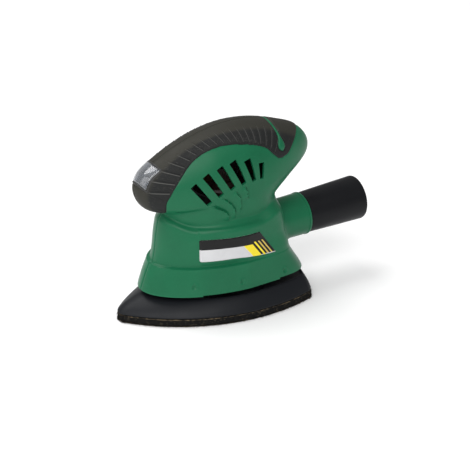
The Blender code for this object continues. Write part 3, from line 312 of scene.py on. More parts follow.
def form_width(x, z, inset=0.0):
    """Half width of the whole form, and above 0 where a point lies inside its outline."""
    a, in_a = grip_form(x, z, inset)
    b, in_b = body_form(x, z, inset)
    a, b = np.where(in_a > 0, a, 0.0), np.where(in_b > 0, b, 0.0)
    blend = BLEND_FRONT + (BLEND_REAR - BLEND_FRONT) * ease((38.0 - x) / 34.0)
    mix = np.clip(0.5 + 0.5 * (a - b) / blend, 0, 1)
    joined = b * (1 - mix) + a * mix + blend * mix * (1 - mix)
    return np.where((a > 0) & (b > 0), joined, np.maximum(a, b)), np.maximum(in_a, in_b)


def form_end(z, inset, direction):
    """x of the form's front (direction 1) or rear end (-1)."""
    inner = np.full(np.shape(z), END_MIDDLE)
    return bisect(inner, inner + direction * END_REACH, lambda x: form_width(x, z, inset)[1] > 0)


def form_grid(heights, inset, columns):
    """Points of the left side as rows by z, from the front seam to the rear seam."""
    z = np.array(heights, float)
    front, rear = form_end(z, inset, 1), form_end(z, inset, -1)
    turn = np.linspace(0, math.pi, columns)
    x = ((front + rear) / 2)[:, None] + ((front - rear) / 2)[:, None] * np.cos(turn)[None, :]
    zz = np.repeat(z[:, None], columns, 1)
    y = form_width(x, zz, inset)[0]
    y[:, 0] = 0.0
    y[:, -1] = 0.0
    return np.stack([x, y, zz], -1)


def grid_normals(points, toward=(0.0, 1.0, 0.0)):
    """Unit normals of a grid of points, on the side that toward points to."""
    normal = np.cross(np.gradient(points, axis=1), np.gradient(points, axis=0))
    normal = normal / np.maximum(np.linalg.norm(normal, axis=-1, keepdims=True), 1e-9)
    middle = normal[len(normal) // 2, normal.shape[1] // 2]
    return -normal if middle @ np.array(toward) < 0 else normal


def polyline_distance(x, z, line):
    """Distance to a polyline in x, z and on which side of it a point lies."""
    best = np.full(np.shape(x), 1e9)
    side = np.zeros(np.shape(x))
    share = np.zeros(np.shape(x))
    for i, (a, b) in enumerate(zip(line, line[1:])):
        dx, dz = b[0] - a[0], b[1] - a[1]
        t = np.clip(((x - a[0]) * dx + (z - a[1]) * dz) / (dx * dx + dz * dz), 0, 1)
        gap = np.hypot(x - a[0] - t * dx, z - a[1] - t * dz)
        nearer = gap < best
        best = np.where(nearer, gap, best)
        side = np.where(nearer, np.sign(dx * (z - a[1]) - dz * (x - a[0])), side)
        share = np.where(nearer, (i + t) / (len(line) - 1), share)
    return best, side, share


def spread(points, count):
    """A smooth line with more points through the given ones."""
    points = np.array(points, float)
    run = np.concatenate([[0], np.cumsum(np.hypot(*np.diff(points, axis=0).T))])
    at = np.linspace(0, run[-1], count)
    rows = [(s, *p) for s, p in zip(run, points)]
    return list(zip(smooth_table(rows, at, 1), smooth_table(rows, at, 2)))


def polar(x, z):
    """Angle in degrees and distance round GRIP_CENTRE."""
    angle = np.degrees(np.arctan2(z - GRIP_CENTRE[1], x - GRIP_CENTRE[0]))
    angle = np.where(angle < -90.0, angle + 360.0, angle)
    return angle, np.hypot(x - GRIP_CENTRE[0], z - GRIP_CENTRE[1])


def rubber_depth(x, z):
    """How far inside the rubbered part a point lies, in mm."""
    angle, reach = polar(x, z)
    lower = reach - smooth_table(GRIP_EDGE, angle)
    rear = np.radians(smooth_table(GRIP_END, reach) - angle) * reach
    front = np.radians(angle - GRIP_START) * reach
    return np.minimum(np.minimum(lower, rear), front)


# ---- mesh helpers -----------------------------------------------------------------------------
def grid_faces(rows, columns, flip=False, offset=0, around=False):
    span = columns if around else columns - 1
    i = np.arange(rows - 1)[:, None] * columns
    j = np.arange(span)[None, :]
    after = (j + 1) % columns
    quads = np.stack([i + j, i + after, i + columns + after, i + columns + j], -1).reshape(-1, 4) + offset
    return quads[:, ::-1] if flip else quads


def slab_faces(rows, columns):
    """Faces of a grid, of a second grid behind it, and of the rim between them."""
    size = rows * columns
    return np.concatenate([grid_faces(rows, columns), grid_faces(rows, columns, True, size),
                           rim_faces(rows, columns)])


def rim_faces(rows, columns):
    size = rows * columns
    grid = np.arange(size).reshape(rows, columns)
    made = []
    for line, turned in ((grid[0], False), (grid[-1], True), (grid[:, 0], True), (grid[:, -1], False)):
        quads = np.stack([line[:-1], line[1:], line[1:] + size, line[:-1] + size], -1)
        made.append(quads if turned else quads[:, ::-1])
    return np.concatenate(made)


def stacked(*grids):
    return np.concatenate([grid.reshape(-1, 3) for grid in grids])


def new_mesh(name, points, faces, looks, smooth=True, indices=None):
    mesh = bpy.data.meshes.new(name)
    corners = (np.asarray(points).reshape(-1, 3) * MM).tolist()
    mesh.from_pydata(corners, [], [list(map(int, face)) for face in faces])
    looks = looks if isinstance(looks, (list, tuple)) else [looks]
    for look in looks:
        mesh.materials.append(look)
    mesh.polygons.foreach_set("use_smooth", [smooth] * len(mesh.polygons))
    if indices is not None:
        mesh.polygons.foreach_set("material_index", indices)
    mesh.update()
    obj = bpy.data.objects.new(name, mesh)
    bpy.context.scene.collection.objects.link(obj)
    return obj


def shade(obj, angle):
    """Smooth shading with sharp edges above the angle in degrees."""
    obj.data.polygons.foreach_set("use_smooth", [True] * len(obj.data.polygons))
    obj.data.set_sharp_from_angle(angle=math.radians(angle))


def tidy_normals(obj, angle=None):
    bm = bmesh.new()
    bm.from_mesh(obj.data)
    bmesh.ops.recalc_face_normals(bm, faces=bm.faces)
    bm.to_mesh(obj.data)
    bm.free()
    if angle is not None:
        obj.data.set_sharp_from_angle(angle=math.radians(angle))
    return obj


def lathe(name, profile, look, steps=96, place=None, closed=False, angle=38):
    """Turns a profile of (radius, height) round the local z axis; place maps local points to the frame."""
    profile = np.array(profile, float)
    turn = np.arange(steps) * FULL / steps
    r, h = profile[:, 0][:, None], profile[:, 1][:, None]
    points = np.stack([r * np.cos(turn), r * np.sin(turn), np.repeat(h, steps, 1)], -1)
    rows = len(profile)
    if closed:
        points = np.concatenate([points, points[:1]])
        rows += 1
    faces = grid_faces(rows, steps, around=True)
    if place is not None:
        points = place(points)
    obj = new_mesh(name, points, faces, look)
    bm = bmesh.new()
    bm.from_mesh(obj.data)
    bmesh.ops.remove_doubles(bm, verts=bm.verts, dist=1e-7)
    bmesh.ops.recalc_face_normals(bm, faces=bm.faces)
    bm.to_mesh(obj.data)
    bm.free()
    shade(obj, angle)
    return obj


def dust_frame(points):
    """Local +z runs out of the collar, local x is up."""
    up = np.array([math.sin(DUST_TILT), 0.0, math.cos(DUST_TILT)])
    side = np.array([0.0, 1.0, 0.0])
    across = np.array(DUST_AXIS_AT) + points[..., :1] * up + points[..., 1:2] * side
    return across + points[..., 2:] * DUST_AXIS


def prism_mesh(name, outline, low, high, axis, look=None):
    """A straight prism over an outline of 2-D points. axis is y (outline in x, z) or z (outline in x, y)."""
    count = len(outline)
    if axis == "y":
        points = [(p[0], low, p[1]) for p in outline] + [(p[0], high, p[1]) for p in outline]
    else:
        points = [(p[0], p[1], low) for p in outline] + [(p[0], p[1], high) for p in outline]
    faces = [list(range(count)), list(range(2 * count - 1, count - 1, -1))]
    faces += [(i, (i + 1) % count, count + (i + 1) % count, count + i) for i in range(count)]
    obj = new_mesh(name, points, faces, look or CUT_LOOK, smooth=False)
    return tidy_normals(obj)


def circle(x, y, radius, steps=32):
    turns = [FULL * i / steps for i in range(steps)]
    return [(x + radius * math.cos(turn), y + radius * math.sin(turn)) for turn in turns]


def cut(obj, *cutters):
    """Takes each cutter away from the object in turn; the cutters are removed."""
    for cutter in cutters:
        modifier = obj.modifiers.new("cut", "BOOLEAN")
        modifier.operation = "DIFFERENCE"
        modifier.solver = "EXACT"
        modifier.object = cutter
    bpy.context.view_layer.update()
    graph = bpy.context.evaluated_depsgraph_get()
    made = bpy.data.meshes.new_from_object(obj.evaluated_get(graph))
    obj.modifiers.clear()
    old, obj.data = obj.data, made
    bpy.data.meshes.remove(old)
    for cutter in cutters:
        bpy.data.objects.remove(cutter, do_unlink=True)
    return obj


def rounded(outline, radius, steps=4):
    """Rounds the corners of a closed 2-D outline."""
    made = []
    for i, corner in enumerate(outline):
        b, c, a = Vector(outline[i - 1]), Vector(corner), Vector(outline[(i + 1) % len(outline)])
        start = c + (b - c).normalized() * radius
        end = c + (a - c).normalized() * radius
        for k in range(steps + 1):
            t = k / steps
            made.append(tuple(start * (1 - t) ** 2 + c * 2 * t * (1 - t) + end * t * t))
    return made


# ---- materials --------------------------------------------------------------------------------
class Look:
    """A Principled material with helpers that add procedural detail in object space."""

    def __init__(self, name, colour, roughness, **constants):
        self.material = bpy.data.materials.new(name)
        self.material.use_nodes = True
        self.tree = self.material.node_tree
        self.shader = self.tree.nodes["Principled BSDF"]
        self.shader.inputs["Base Color"].default_value = (*colour, 1.0)
        self.shader.inputs["Roughness"].default_value = roughness
        for key, value in constants.items():
            self.shader.inputs[key.replace("_", " ")].default_value = value
        self.colour = colour
        self.coordinates = self.tree.nodes.new("ShaderNodeTexCoord").outputs["Object"]
        self.bump_out = None
        self.colour_out = None

    def node(self, kind, **settings):
        made = self.tree.nodes.new(kind)
        for key, value in settings.items():
            setattr(made, key, value)
        return made

    def link(self, a, b):
        self.tree.links.new(a, b)

    def mapping(self, stretch=(1.0, 1.0, 1.0)):
        made = self.node("ShaderNodeMapping")
        made.inputs["Scale"].default_value = stretch
        self.link(self.coordinates, made.inputs["Vector"])
        return made.outputs["Vector"]

    def noise(self, scale, detail=3.0, rough=0.55, stretch=(1.0, 1.0, 1.0)):
        made = self.node("ShaderNodeTexNoise")
        made.inputs["Scale"].default_value = scale
        made.inputs["Detail"].default_value = detail
        made.inputs["Roughness"].default_value = rough
        self.link(self.mapping(stretch), made.inputs["Vector"])
        return made.outputs["Fac"]

    def cells(self, scale, stretch=(1.0, 1.0, 1.0), feature="F1"):
        made = self.node("ShaderNodeTexVoronoi", feature=feature)
        made.inputs["Scale"].default_value = scale
        self.link(self.mapping(stretch), made.inputs["Vector"])
        return made.outputs["Distance"]

    def spread(self, value, low, high, to_low, to_high):
        made = self.node("ShaderNodeMapRange")
        for key, number in zip(("From Min", "From Max", "To Min", "To Max"), (low, high, to_low, to_high)):
            made.inputs[key].default_value = number
        self.link(value, made.inputs["Value"])
        return made.outputs["Result"]

    def tint(self, value, colour):
        """Mixes towards another colour where value is 1."""
        made = self.node("ShaderNodeMix", data_type="RGBA")
        self.link(value, made.inputs["Factor"])
        if self.colour_out is None:
            made.inputs["A"].default_value = (*self.colour, 1.0)
        else:
            self.link(self.colour_out, made.inputs["A"])
        made.inputs["B"].default_value = (*colour, 1.0)
        self.colour_out = made.outputs["Result"]
        self.link(self.colour_out, self.shader.inputs["Base Color"])
        return self

    def stain(self, noise, span, amount, colour):
        """Tints in patches: where the noise rises over the span, up to the amount."""
        return self.tint(self.spread(self.noise(*noise), *span, 0.0, amount), colour)

    def bands(self, scale, direction, distortion=0.0):
        made = self.node("ShaderNodeTexWave", wave_type="BANDS", bands_direction=direction)
        made.inputs["Scale"].default_value = scale
        made.inputs["Distortion"].default_value = distortion
        self.link(self.mapping(), made.inputs["Vector"])
        return made.outputs["Fac"]

    def roughen(self, value, low, high):
        self.link(self.spread(value, 0.25, 0.75, low, high), self.shader.inputs["Roughness"])
        return self

    def bump(self, value, distance, strength=1.0):
        made = self.node("ShaderNodeBump")
        made.inputs["Distance"].default_value = distance * MM
        made.inputs["Strength"].default_value = strength
        self.link(value, made.inputs["Height"])
        if self.bump_out is not None:
            self.link(self.bump_out, made.inputs["Normal"])
        self.bump_out = made.outputs["Normal"]
        self.link(self.bump_out, self.shader.inputs["Normal"])
        return self

    def attribute(self, name):
        return self.node("ShaderNodeAttribute", attribute_name=name).outputs["Fac"]

    def worn(self, colour, low=0.52, high=0.62):
        """Convex edges turn towards a paler colour."""
        point = self.node("ShaderNodeNewGeometry").outputs["Pointiness"]
        return self.tint(self.spread(point, low, high, 0.0, 0.5), colour)


def moulded(name, colour, roughness, grain=0.02, edge=None, **constants):
    """Moulded plastic: fine spark texture, faint flow marks, uneven gloss, paler edges."""
    look = Look(name, colour, roughness, **constants)
    darker = tuple(c * 0.72 for c in colour)
    paler = tuple(min(1.0, c * 1.25 + 0.004) for c in colour)
    look.stain((38.0, 4.0), (0.35, 0.75), 0.45, darker)
    look.stain((900.0, 2.0), (0.55, 0.8), 0.35, paler)
    look.worn(edge or paler)
    look.roughen(look.noise(60.0, 4.0), roughness - 0.05, roughness + 0.07)
    look.bump(look.noise(1500.0, 2.0), grain)
    look.bump(look.noise(70.0, 2.0), grain * 1.5)
    return look


def metal(name, colour, roughness, stretch=(1.0, 1.0, 12.0), stain=(0.12, 0.1, 0.08)):
    """Machined metal: fine tool lines, stains and uneven polish."""
    look = Look(name, colour, roughness, Metallic=1.0)
    look.stain((120.0, 5.0), (0.5, 0.85), 0.55, stain)
    look.worn(tuple(min(1.0, c * 1.4) for c in colour))
    look.roughen(look.noise(300.0, 4.0, 0.6, stretch), roughness - 0.08, roughness + 0.14)
    look.bump(look.noise(900.0, 3.0, 0.6, stretch), 0.015)
    return look


CUT_LOOK = bpy.data.materials.new("cut_face")

GREEN = moulded("green_body_look", (0.0068, 0.122, 0.053), 0.36, 0.012, edge=(0.020, 0.18, 0.09),
                Specular_IOR_Level=0.22)
BLACK = moulded("black_plastic_look", (0.0062, 0.0066, 0.008), 0.42, 0.02, edge=(0.018, 0.018, 0.02),
                Specular_IOR_Level=0.14)
PAD_BLACK = moulded("pad_plate_look", (0.0068, 0.0080, 0.0105), 0.46, 0.03, edge=(0.022, 0.024, 0.028),
                    Specular_IOR_Level=0.2)
ROCKER = moulded("rocker_look", (0.016, 0.016, 0.018), 0.3, 0.01)
DARK_BLOCK = moulded("inner_plastic_look", (0.012, 0.012, 0.013), 0.5, 0.03)


def make_rubber():
    look = Look("ribbed_rubber_look", (0.0135, 0.0145, 0.0145), 0.6, Specular_IOR_Level=0.18)
    painted_top_highlight = look.attribute("painted_top_highlight")
    look.stain((45.0, 4.0), (0.4, 0.75), 0.5, (0.011, 0.011, 0.0105))
    # Painted highlight: the top of the grip, near the ridge, turns lighter and warmer.
    look.tint(look.spread(painted_top_highlight, 0.0, 1.0, 0.0, 0.6), (0.042, 0.040, 0.030))
    look.stain((700.0, 3.0), (0.56, 0.8), 0.4, (0.05, 0.047, 0.04))
    # Painted highlight: paler lines along the ribs' raised edges.
    look.tint(look.spread(look.attribute("painted_rib_highlight"), 0.2, 0.9, 0.0, 0.8), (0.10, 0.10, 0.094))
    look.worn((0.055, 0.055, 0.051), 0.53, 0.64)
    look.roughen(look.noise(90.0, 4.0), 0.48, 0.64)
    look.bump(look.noise(1300.0, 3.0, 0.65), 0.05)
    return look


RUBBER = make_rubber()
RUBBER_PLAIN = moulded("rubber_trim_look", (0.016, 0.0158, 0.015), 0.5, 0.04, edge=(0.05, 0.05, 0.045))


def make_clear():
    look = Look("clear_boot_look", (0.46, 0.48, 0.51), 0.08, Transmission_Weight=0.78, IOR=1.46,
                Coat_Weight=0.6, Coat_Roughness=0.05)
    look.stain((160.0, 3.0), (0.4, 0.75), 0.5, (0.24, 0.27, 0.34))
    look.roughen(look.noise(220.0, 3.0), 0.06, 0.14)
    look.bump(look.noise(90.0, 2.0), 0.05)
    return look


CLEAR = make_clear()


def printed(name, colour, roughness, metallic=0.0, *, deep):
    """Printed foil: faint brushed lines and a slightly uneven colour."""
    look = Look(name, colour, roughness, Metallic=metallic, Specular_IOR_Level=0.25)
    look.stain((140.0, 4.0), (0.4, 0.8), 0.35, deep)
    look.roughen(look.noise(260.0, 4.0, 0.6, (8.0, 1.0, 1.0)), roughness - 0.05, roughness + 0.08)
    look.bump(look.noise(1200.0, 2.0, 0.5, (10.0, 1.0, 1.0)), 0.008)
    return look


BADGE_LOOKS = [
    printed("badge_black", (0.004, 0.004, 0.0042), 0.35, deep=(0.008, 0.008, 0.0085)),
    printed("badge_silver", (0.60, 0.60, 0.61), 0.42, 0.15, deep=(0.46, 0.46, 0.48)),
    printed("badge_yellow", (0.86, 0.70, 0.028), 0.33, deep=(0.78, 0.58, 0.02)),
    printed("badge_gold_line", (0.62, 0.45, 0.10), 0.3, 0.2, deep=(0.45, 0.32, 0.06)),
]


def make_foam():
    look = Look("hook_foam_look", (0.0075, 0.0075, 0.0075), 0.95, Specular_IOR_Level=0.1)
    look.stain((620.0, 4.0, 0.7), (0.56, 0.68), 0.9, (0.075, 0.065, 0.045))
    look.tint(look.spread(look.cells(900.0), 0.0, 0.16, 0.85, 0.0), (0.11, 0.08, 0.05))
    look.roughen(look.noise(300.0, 4.0), 0.85, 1.0)
    look.bump(look.noise(850.0, 5.0, 0.75), 0.28)
    return look


def make_grit():
    look = Look("abrasive_look", (0.105, 0.052, 0.028), 0.9)
    look.tint(look.spread(look.cells(1500.0), 0.1, 0.5, 0.0, 0.9), (0.035, 0.017, 0.011))
    look.stain((1900.0, 3.0, 0.7), (0.6, 0.75), 0.9, (0.32, 0.2, 0.12))
    look.roughen(look.noise(700.0, 4.0), 0.75, 1.0)
    look.bump(look.cells(1500.0), 0.12)
    look.bump(look.noise(2200.0, 4.0, 0.7), 0.08)
    return look


def make_paper_edge():
    look = Look("paper_edge_look", (0.15, 0.115, 0.07), 0.95, Specular_IOR_Level=0.1)
    look.tint(look.spread(look.noise(330.0, 4.0, 0.8), 0.46, 0.60, 1.0, 0.0), (0.011, 0.010, 0.009))
    look.roughen(look.noise(300.0, 4.0), 0.85, 1.0)
    look.bump(look.noise(900.0, 5.0, 0.8), 0.3)
    return look


FOAM, GRIT, PAPER = make_foam(), make_grit(), make_paper_edge()


def make_winding():
    look = Look("winding_look", (0.085, 0.026, 0.012), 0.4, Metallic=0.6, Coat_Weight=0.3)
    wires = look.bands(330.0, "DIAGONAL", 2.0)
    look.tint(look.spread(wires, 0.0, 0.45, 0.8, 0.0), (0.02, 0.007, 0.004))
    look.roughen(look.noise(200.0, 3.0), 0.25, 0.45)
    look.bump(wires, 0.25)
    return look


def make_lamination():
    look = Look("lamination_look", (0.06, 0.06, 0.065), 0.5, Metallic=0.8)
    sheets = look.bands(320.0, "Z")
    look.tint(look.spread(sheets, 0.0, 0.3, 0.8, 0.0), (0.03, 0.03, 0.032))
    look.stain((90.0, 5.0), (0.55, 0.8), 0.6, (0.10, 0.05, 0.025))
    look.roughen(look.noise(250.0, 3.0), 0.36, 0.6)
    look.bump(sheets, 0.06)
    return look


SLOT_LOOKS = {
    "green_body": GREEN,
    "black_plastic": DARK_BLOCK,
    "black_rubber": RUBBER_PLAIN,
    "clear_boot": CLEAR,
    "rocker_plastic": ROCKER,
    "badge_silver": BADGE_LOOKS[1],
    "black_foam": FOAM,
    "sanding_grit": GRIT,
    "steel": metal("steel_look", (0.42, 0.42, 0.44), 0.32),
    "cast_alloy": metal("cast_alloy_look", (0.38, 0.38, 0.39), 0.52, (1.0, 1.0, 1.0)),
    "brass": metal("brass_look", (0.52, 0.36, 0.13), 0.34, (6.0, 1.0, 1.0), (0.16, 0.09, 0.03)),
    "copper": make_winding(),
    "lamination_steel": make_lamination(),
    "carbon": moulded("carbon_look", (0.018, 0.018, 0.02), 0.55, 0.05),
    "capacitor_yellow": moulded("capacitor_look", (0.52, 0.33, 0.05), 0.42, 0.03),
    "lead_brown": moulded("lead_brown_look", (0.09, 0.032, 0.014), 0.42, 0.03),
    "lead_blue": moulded("lead_blue_look", (0.014, 0.045, 0.2), 0.42, 0.03),
}
# Darker copies of the looks for the parts inside the housing: painted shade, where the housing keeps the
# light out.
SHADED_INSIDE_LOOKS = {
    "steel": metal("shaded_inside_steel_look", (0.09, 0.09, 0.095), 0.45),
    "brass": metal("shaded_inside_brass_look", (0.075, 0.05, 0.02), 0.5, (6.0, 1.0, 1.0), (0.03, 0.02, 0.01)),
    "capacitor_yellow": moulded("shaded_inside_capacitor_look", (0.10, 0.065, 0.012), 0.6, 0.03),
    "copper": moulded("shaded_inside_winding_look", (0.022, 0.011, 0.007), 0.5, 0.06),
}
OUTSIDE = ("housing_screw", "pad_screw", "pad_washer")
NODE_SLOT = {part["node"]: part["material_slot"] for part in frame["record"]["subparts"]}
for node_name, node in frame["nodes"].items():
    node.data.materials.clear()
    # Parts inside the housing take the darker copies: painted shade.
    choice = SLOT_LOOKS if node_name.startswith(OUTSIDE) else {**SLOT_LOOKS, **SHADED_INSIDE_LOOKS}
    node.data.materials.append(choice[NODE_SLOT[node_name]].material)


# ---- green shells -----------------------------------------------------------------------------
def shell_heights():
    """Heights of the shell's rows, closer together at the ledge and the shoulder."""
    bands = ((20.0, 37.6, 20), (38.0, 39.0, 5), (39.2, 40.4, 7), (41.0, 63.0, 27), (63.6, 75.2, 22),
             (75.6, 81.0, 16), (81.7, 118.0, 52), (118.8, 124.0, 6))
    return np.concatenate([np.linspace(low, high, count) for low, high, count in bands])


def shell_relief(x, y, z):
    """Outward relief of the green shell in mm: rubber recess, fins, panel step, dimples."""
    made = np.zeros(x.shape)
    depth = rubber_depth(x, z)
    made -= RUBBER_RECESS * ease((depth - 0.15) / 0.8)
    open_skin = depth < 0
    for line in FINS:
        gap, side, share = polyline_distance(x, z, spread(line, FIN_POINTS))
        fade = ease(share / 0.25) * ease((1.0 - share) / 0.3)
        lift = np.where(side > 0, np.exp(-gap / FIN_WIDTH), 0.0) * FIN_LIFT
        trough = np.where(side <= 0, bell(gap, FIN_TROUGH_WIDTH), 0.0) * FIN_TROUGH
        made += np.where(open_skin, (lift - trough) * fade, 0.0)
    panel = ease((PANEL_FRONT - x) / 1.3) * ease((x - PANEL_REAR) / 16.0)
    made += PANEL_RISE * (panel * ease((z - PANEL_LOW) / 1.2) * ease((PANEL_HIGH - z) / 0.9))
    for at_x, at_z in DIMPLES:
        gap = np.hypot(x - at_x, z - at_z)
        made += (-DIMPLE_DEPTH * bell(gap, DIMPLE_RADIUS, 4)
                 + DIMPLE_RIM * bell(gap - DIMPLE_RIM_RADIUS, DIMPLE_RIM_WIDTH))
    made -= SEAM_GROOVE * np.where(depth < 0.5, bell(y, SEAM_WIDTH), 0.0)
    return made


def vent_outline(outer_end, inner_end, outer_width, inner_width):
    """Rounded outline of a slot that narrows towards its inner end."""
    outer_end, inner_end = Vector(outer_end), Vector(inner_end)
    along = (outer_end - inner_end).normalized()
    across = Vector((-along.y, along.x))
    wide, narrow = outer_width / 2 + VENT_EASE, inner_width / 2 + VENT_EASE
    corners = [outer_end - across * wide, outer_end + across * wide,
               inner_end + across * narrow, inner_end - across * narrow]
    return rounded([tuple(corner) for corner in corners], 0.45)


def shell_cutters(side):
    """What is taken from a half: slots, skirt edge, switch, duct and cord openings, screw wells."""
    cutters = [prism_mesh(f"cut_vent_{i}", vent_outline(*vent), side * 5.0, side * 45.0, "y")
               for i, vent in enumerate(VENTS)]
    bore = ((0.0, -14.0), (DUCT_HOLE_RADIUS, -14.0), (DUCT_HOLE_RADIUS, 30.0), (0.0, 30.0))
    cutters += [prism_mesh("cut_skirt_edge", SKIRT_EDGE, -side, side * 60.0, "y"), make_switch_cutter(),
                lathe("cut_bore", bore, CUT_LOOK, 64, dust_frame), make_cord_cutter()]
    if side < 0:
        cutters += [prism_mesh(f"cut_screw_{i}", circle(*at, WELL_RADIUS, 28), -8.0, -60.0, "y")
                    for i, at in enumerate(SCREW_PLACES)]
    return cutters


def make_shells():
    """Both green halves, 2 mm thick, with their relief on the outside."""
    heights = shell_heights()
    outer = form_grid(heights, 0.0, SHELL_COLUMNS)
    relief = shell_relief(outer[..., 0], outer[..., 1], outer[..., 2])
    outer = outer + grid_normals(outer) * relief[..., None]
    drawn = np.where(heights < CROWN_LOW, heights, CROWN_LOW + (heights - CROWN_LOW) * CROWN_SHARE)
    inner = form_grid(drawn, WALL, SHELL_COLUMNS)
    for skin in (outer, inner):
        skin[..., 1] = np.maximum(skin[..., 1], SEAM)
    faces = slab_faces(len(heights), SHELL_COLUMNS)
    for name, side in (("left_shell", 1.0), ("right_shell", -1.0)):
        shell = new_mesh(name, stacked(outer, inner) * np.array([1.0, side, 1.0]), faces, GREEN.material)
        tidy_normals(shell)
        cut(shell, *shell_cutters(side))
        mesh = shell.data
        mesh.materials.clear()
        mesh.materials.append(GREEN.material)
        mesh.polygons.foreach_set("material_index", [0] * len(mesh.polygons))
        shade(shell, 42)
        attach(shell, "housing")
        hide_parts("left_housing" if side > 0 else "right_housing")


def switch_axes():
    """Middle of the switch on the ridge, the way along the ridge and the way out."""
    reach = float(ridge_radius(SWITCH_ANGLE))
    at = np.array([GRIP_CENTRE[0] + reach * math.cos(SWITCH_ANGLE), 0.0,
                   GRIP_CENTRE[1] + reach * math.sin(SWITCH_ANGLE)])
    out = np.array([math.cos(SWITCH_TURN), 0.0, math.sin(SWITCH_TURN)])
    along = np.array([-math.sin(SWITCH_TURN), 0.0, math.cos(SWITCH_TURN)])
    return at, along, out


def make_switch_cutter():
    at, along, out = switch_axes()
    half_a, half_b = SWITCH_HOLE
    corners = [at + along * a + np.array([0.0, b, 0.0]) + out * depth for depth in SWITCH_HOLE_DEPTHS
               for a, b in ((-half_a, -half_b), (half_a, -half_b), (half_a, half_b), (-half_a, half_b))]
    faces = [(0, 1, 2, 3), (7, 6, 5, 4), (0, 4, 5, 1), (1, 5, 6, 2), (2, 6, 7, 3), (3, 7, 4, 0)]
    return tidy_normals(new_mesh("cut_switch", corners, faces, CUT_LOOK, smooth=False))


def make_cord_cutter():
    def place(points):
        return np.stack([CORD_AT[0] - points[..., 2], points[..., 0], CORD_AT[1] + points[..., 1]], -1)
    hole = ((0.0, -3.0), (CORD_HOLE_RADIUS, -3.0), (CORD_HOLE_RADIUS, 25.0), (0.0, 25.0))
    return lathe("cut_cord", hole, CUT_LOOK, 32, place)


def make_screw_wells():
    """Green sleeves that carry the screw heads, open to the right side."""
    for i, (at_x, at_z) in enumerate(SCREW_PLACES):
        depth = float(form_width(np.array(at_x), np.array(at_z))[0]) - WELL_SUNK

        def place(points, at_x=at_x, at_z=at_z):
            x, z = at_x + points[..., 0], at_z + points[..., 1]
            skin = form_width(x, z)[0] - WELL_UNDER_SKIN - WELL_UNDER_RUBBER * (rubber_depth(x, z) > -0.5)
            return np.stack([x, -np.minimum(points[..., 2], skin), z], -1)
        outside = WELL_RADIUS + WELL_WALL
        profile = ((WELL_RADIUS, WELL_FLOOR), (outside, WELL_FLOOR), (outside, depth), (WELL_RADIUS, depth))
        well = lathe(f"screw_well_{i + 1}", profile, GREEN.material, 40, place, closed=True)
        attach(well, "housing")


def make_screws():
    """Pan-head screws with a cross recess, deep in the wells of the right side."""
    for i, (at_x, at_z) in enumerate(SCREW_PLACES):
        def place(points, at_x=at_x, at_z=at_z):
            return np.stack([at_x + points[..., 0], -points[..., 2], at_z + points[..., 1]], -1)
        screw = lathe(f"cross_screw_{i + 1}", SCREW_PROFILE, SLOT_LOOKS["steel"].material, 48, place)
        slots = []
        for turn in (0.4 + i, 0.4 + i + math.pi / 2):
            along = Vector((math.cos(turn), math.sin(turn))) * SLOT_HALF_LENGTH
            across = Vector((-math.sin(turn), math.cos(turn))) * SLOT_HALF_WIDTH
            corners = (-along - across, along - across, along + across, -along + across)
            outline = [(at_x + corner.x, at_z + corner.y) for corner in corners]
            slots.append(prism_mesh(f"cut_slot_{i}", outline, SLOT_DEEP, SLOT_HIGH, "y"))
        cut(screw, *slots)
        shade(screw, 35)
        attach(screw, "housing")
        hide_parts(f"housing_screw_{i + 1}")


def make_springs():
    """Coil springs behind the carbon brushes."""
    share = np.linspace(0.0, 1.0, SPRING_POINTS)
    turn = share * SPRING_TURNS * FULL
    around = (np.arange(SPRING_SIDES) * FULL / SPRING_SIDES)[None, :, None]
    for name, side in (("front", 1.0), ("rear", -1.0)):
        along = np.array([side, 0.0, 0.0])
        radial = np.stack([np.zeros(SPRING_POINTS), np.cos(turn), np.sin(turn)], -1)
        centre = along * (SPRING_START + SPRING_LENGTH * share)[:, None] + radial * SPRING_RADIUS
        centre[:, 2] += BRUSH_HEIGHT
        points = centre[:, None] + SPRING_WIRE * (np.cos(around) * radial[:, None] + np.sin(around) * along)
        last = (SPRING_POINTS - 1) * SPRING_SIDES
        caps = [list(range(SPRING_SIDES)), list(range(last, last + SPRING_SIDES))]
        faces = grid_faces(SPRING_POINTS, SPRING_SIDES, around=True).tolist() + caps
        # The springs sit inside the housing and take the darkened steel: painted shade.
        spring = new_mesh(f"coil_spring_{name}", points, faces, SHADED_INSIDE_LOOKS["steel"].material)
        tidy_normals(spring)
        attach(spring, "housing")
        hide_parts(f"brush_spring_{name}")
        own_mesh(spring)


